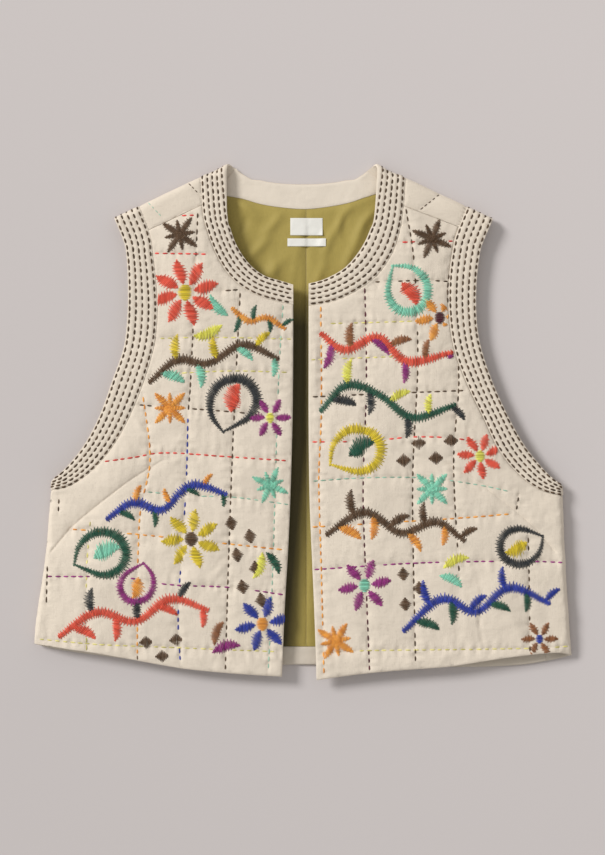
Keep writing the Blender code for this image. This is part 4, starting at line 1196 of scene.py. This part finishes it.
class WAISTCOAT_OT_back(bpy.types.Operator):
    """Makes the quilted back with its extensions over the shoulders"""

    bl_idname = "waistcoat.back"
    bl_label = "Back"

    def execute(self, context):
        paints = [paint("shell"), paint("facing"), paint("shell")]
        piece = refined("back", "quilted_back", paints, levels=2, cuts=0, rounds=4)
        groove = cloth().groove / MM

        def relief(points, normals, from_rim):
            height = 0.7 * waves(points, 40) * ease(normals[:, 2], -0.5, 0.3) * ease(from_rim, 0, 4)
            for side in (LEFT, RIGHT):
                off = to_lines(SHOULDER_LINES[side], side, points[:, :2])
                height -= groove * np.exp(-((off / 2.2) ** 2)) * (normals[:, 2] > 0.2)
            return height

        raised(piece, relief, cloth().edge / MM, edge_run=2.5)
        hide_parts("back")
        return {"FINISHED"}


class WAISTCOAT_OT_fronts(bpy.types.Operator):
    """Makes both quilted fronts, with grooves, puckers and creases"""

    bl_idname = "waistcoat.fronts"
    bl_label = "Fronts"

    def execute(self, context):
        for side, name in SIDES:
            paints = [paint("shell"), paint("front_inside"), paint("shell")]
            node = "front_" + name
            piece = refined(node, "quilted_" + node, paints, levels=1, cuts=2, rounds=8)
            raised(piece, front_relief(side), cloth().edge / MM, edge_run=2.2)
            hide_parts(node)
        return {"FINISHED"}


class WAISTCOAT_OT_bands(bpy.types.Operator):
    """Makes the neck and armhole bands with their rows of stitches"""

    bl_idname = "waistcoat.bands"
    bl_label = "Bands"

    def execute(self, context):
        names = [("neck_band", "neck_stitches")]
        names += [("armhole_band_" + side, "armhole_stitches_" + side) for _, side in SIDES]
        for seed, (node, rows) in enumerate(names):
            band = Band(node)
            piece = band.build("stitched_" + node)
            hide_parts(node)
            out = ThreadMesh(BAND_SEED + seed)
            band.stitches(out)
            out.build(rows)
        return {"FINISHED"}


class WAISTCOAT_OT_inside(bpy.types.Operator):
    """Makes the lining of the back and the facings of its neck and hem"""

    bl_idname = "waistcoat.inside"
    bl_label = "Lining and facings"

    def execute(self, context):
        for _, name in SIDES:
            node = "lining_" + name
            sizes = {"wall": 1.0, "step": 3.0, "edge_drop": 0.8}
            piece = laid_sheet(node, "olive_" + node, paint("lining"), relief=lining_relief, **sizes)
            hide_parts(node)
        for name in ("neck_facing", "hem_facing"):
            sizes = {"wall": 1.0, "step": 2.2, "edge_drop": 0.45}
            if name == "neck_facing":
                sizes["longer"] = facing_ends
            piece = laid_sheet(name, "plain_" + name, paint("facing"), relief=facing_relief, **sizes)
            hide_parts(name)
        return {"FINISHED"}


class WAISTCOAT_OT_labels(bpy.types.Operator):
    """Makes the two bare label tapes"""

    bl_idname = "waistcoat.labels"
    bl_label = "Labels"

    def execute(self, context):
        lining = Ground(*[bpy.data.objects["olive_lining_" + name] for _, name in SIDES])
        for name in ("label_main", "label_care"):
            sizes = {"wall": 0.5, "step": 1.4, "edge_drop": 0.2}
            sizes["ground"] = lining
            piece = laid_sheet(name, "tape_" + name, paint("tape"), relief=label_relief, **sizes)
            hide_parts(name)
        return {"FINISHED"}


class WAISTCOAT_OT_embroidery(bpy.types.Operator):
    """Fills flowers, leaves, drops and stars with satin stitches on both fronts"""

    bl_idname = "waistcoat.embroidery"
    bl_label = "Embroidery"

    def execute(self, context):
        for side, name in SIDES:
            front = Ground(bpy.data.objects["quilted_front_" + name])
            out = ThreadMesh(EMBROIDERY_SEED + side)
            for motif, *values in EMBROIDERY[side]:
                motif(out, front, *values)
            out.build("embroidery_" + name)
        return {"FINISHED"}


class WAISTCOAT_OT_running_stitches(bpy.types.Operator):
    """Lays the coloured running stitches along the quilting of the fronts and shoulders"""

    bl_idname = "waistcoat.running_stitches"
    bl_label = "Running stitches"

    def execute(self, context):
        back = Ground(bpy.data.objects["quilted_back"])
        for side, name in SIDES:
            front = Ground(bpy.data.objects["quilted_front_" + name])
            cover = Ground(bpy.data.objects["embroidery_" + name])
            out = ThreadMesh(RUNNING_SEED + side)
            for shade, row in DOWN_LINES[side] + ACROSS_LINES[side]:
                run_stitches(out, front, shade, smooth([(side * x, y) for x, y in row], 2.0), cover)
            out.build("front_stitches_" + name)
            out = ThreadMesh(SHOULDER_SEED + side)
            for shade, row in SHOULDER_LINES[side]:
                run_stitches(out, back, shade, smooth([(side * x, y) for x, y in row], 2.0), share=0.65)
            out.build("shoulder_stitches_" + name)
        return {"FINISHED"}


FLOOR_PLACE = (0, 0, -0.0004)  # just under the cloth
LAMP_PLACE = (-4.9, 2.9, 3.95)
SENSOR = 24  # mm, height of the camera's sensor
PICTURE_MIDDLE = (-0.000394, -0.006201)  # m, the place on the floor under the camera
CLOTH_HEIGHT = 0.014  # m, where the picture's scale is true


class WAISTCOAT_OT_stage(bpy.types.Operator):
    """Makes the floor, the soft lamp from the upper left, the even light and the camera"""

    bl_idname = "waistcoat.stage"
    bl_label = "Stage"

    def execute(self, context):
        scene, settings = context.scene, context.scene.waistcoat_stage
        bpy.ops.object.select_all(action="DESELECT")
        bpy.ops.mesh.primitive_grid_add(x_subdivisions=8, y_subdivisions=8, size=8, location=FLOOR_PLACE)
        floor = context.object
        floor.name = "waistcoat_floor"
        paper = Paint("floor_paper_with_painted_falloff", 0.95, specular=0.1)
        tone = tuple(settings.paper)
        x, y, _ = paper.axes()
        # painted shade: the paper darkens towards the lower left, standing in for the lamp's uneven light
        painted_falloff = paper.step(x * -0.45 - y, -0.5, 0.6)
        falloff_tone = paper.mix(painted_falloff, tone, darker(tone, 0.88))
        paper.finish("Base Color", paper.mix(paper.noise((900, 900, 900)) * 0.3, falloff_tone, darker(tone, 0.85)))
        floor.data.materials.append(paper.material)
        lamp = bpy.data.objects.new("lamp", bpy.data.lights.new("lamp", "SUN"))
        lamp.data.angle = settings.lamp_angle
        lamp.data.energy = settings.lamp_power
        lamp.location = LAMP_PLACE
        lamp.rotation_euler = (Vector((0, 0, 0)) - lamp.location).to_track_quat("-Z", "Y").to_euler()
        camera = bpy.data.objects.new("camera", bpy.data.cameras.new("camera"))
        camera.data.sensor_fit = "VERTICAL"
        camera.data.sensor_height = SENSOR
        reach = settings.camera_height - CLOTH_HEIGHT
        camera.data.lens = SENSOR * reach / settings.frame_height
        camera.location = (*PICTURE_MIDDLE, settings.camera_height)
        for obj in (lamp, camera):
            scene.collection.objects.link(obj)
        scene.camera = camera
        scene.view_settings.view_transform = "Standard"
        scene.world = bpy.data.worlds.new("even_light")
        scene.world.use_nodes = True
        sky = scene.world.node_tree.nodes["Background"]
        sky.inputs["Color"].default_value = (1.0, 0.985, 0.97, 1)
        sky.inputs["Strength"].default_value = settings.sky
        return {"FINISHED"}


STEPS = (
    WAISTCOAT_OT_stage,
    WAISTCOAT_OT_back,
    WAISTCOAT_OT_fronts,
    WAISTCOAT_OT_bands,
    WAISTCOAT_OT_inside,
    WAISTCOAT_OT_labels,
    WAISTCOAT_OT_embroidery,
    WAISTCOAT_OT_running_stitches,
)


class WAISTCOAT_PT_panel(bpy.types.Panel):
    """Sizes, colours and steps of the waistcoat"""

    bl_idname = "WAISTCOAT_PT_panel"
    bl_label = "Waistcoat"
    bl_space_type = "VIEW_3D"
    bl_region_type = "UI"
    bl_category = "Waistcoat"

    def draw(self, context):
        for group in ("waistcoat_cloth", "waistcoat_threads", "waistcoat_stage"):
            settings = getattr(context.scene, group)
            box = self.layout.box()
            for name in type(settings).__annotations__:
                box.prop(settings, name)
        for step in STEPS:
            self.layout.operator(step.bl_idname)


CLASSES = (WaistcoatCloth, WaistcoatThreads, WaistcoatStage, *STEPS, WAISTCOAT_PT_panel)


def register():
    for cls in CLASSES:
        bpy.utils.register_class(cls)
    bpy.types.Scene.waistcoat_cloth = PointerProperty(type=WaistcoatCloth)
    bpy.types.Scene.waistcoat_threads = PointerProperty(type=WaistcoatThreads)
    bpy.types.Scene.waistcoat_stage = PointerProperty(type=WaistcoatStage)


def unregister():
    del bpy.types.Scene.waistcoat_cloth
    del bpy.types.Scene.waistcoat_threads
    del bpy.types.Scene.waistcoat_stage
    for cls in reversed(CLASSES):
        bpy.utils.unregister_class(cls)


def main():
    register()
    bpy.ops.waistcoat.stage()
    bpy.ops.waistcoat.back()
    bpy.ops.waistcoat.fronts()
    bpy.ops.waistcoat.bands()
    bpy.ops.waistcoat.inside()
    bpy.ops.waistcoat.labels()
    bpy.ops.waistcoat.embroidery()
    bpy.ops.waistcoat.running_stitches()


if __name__ == "__main__":
    main()
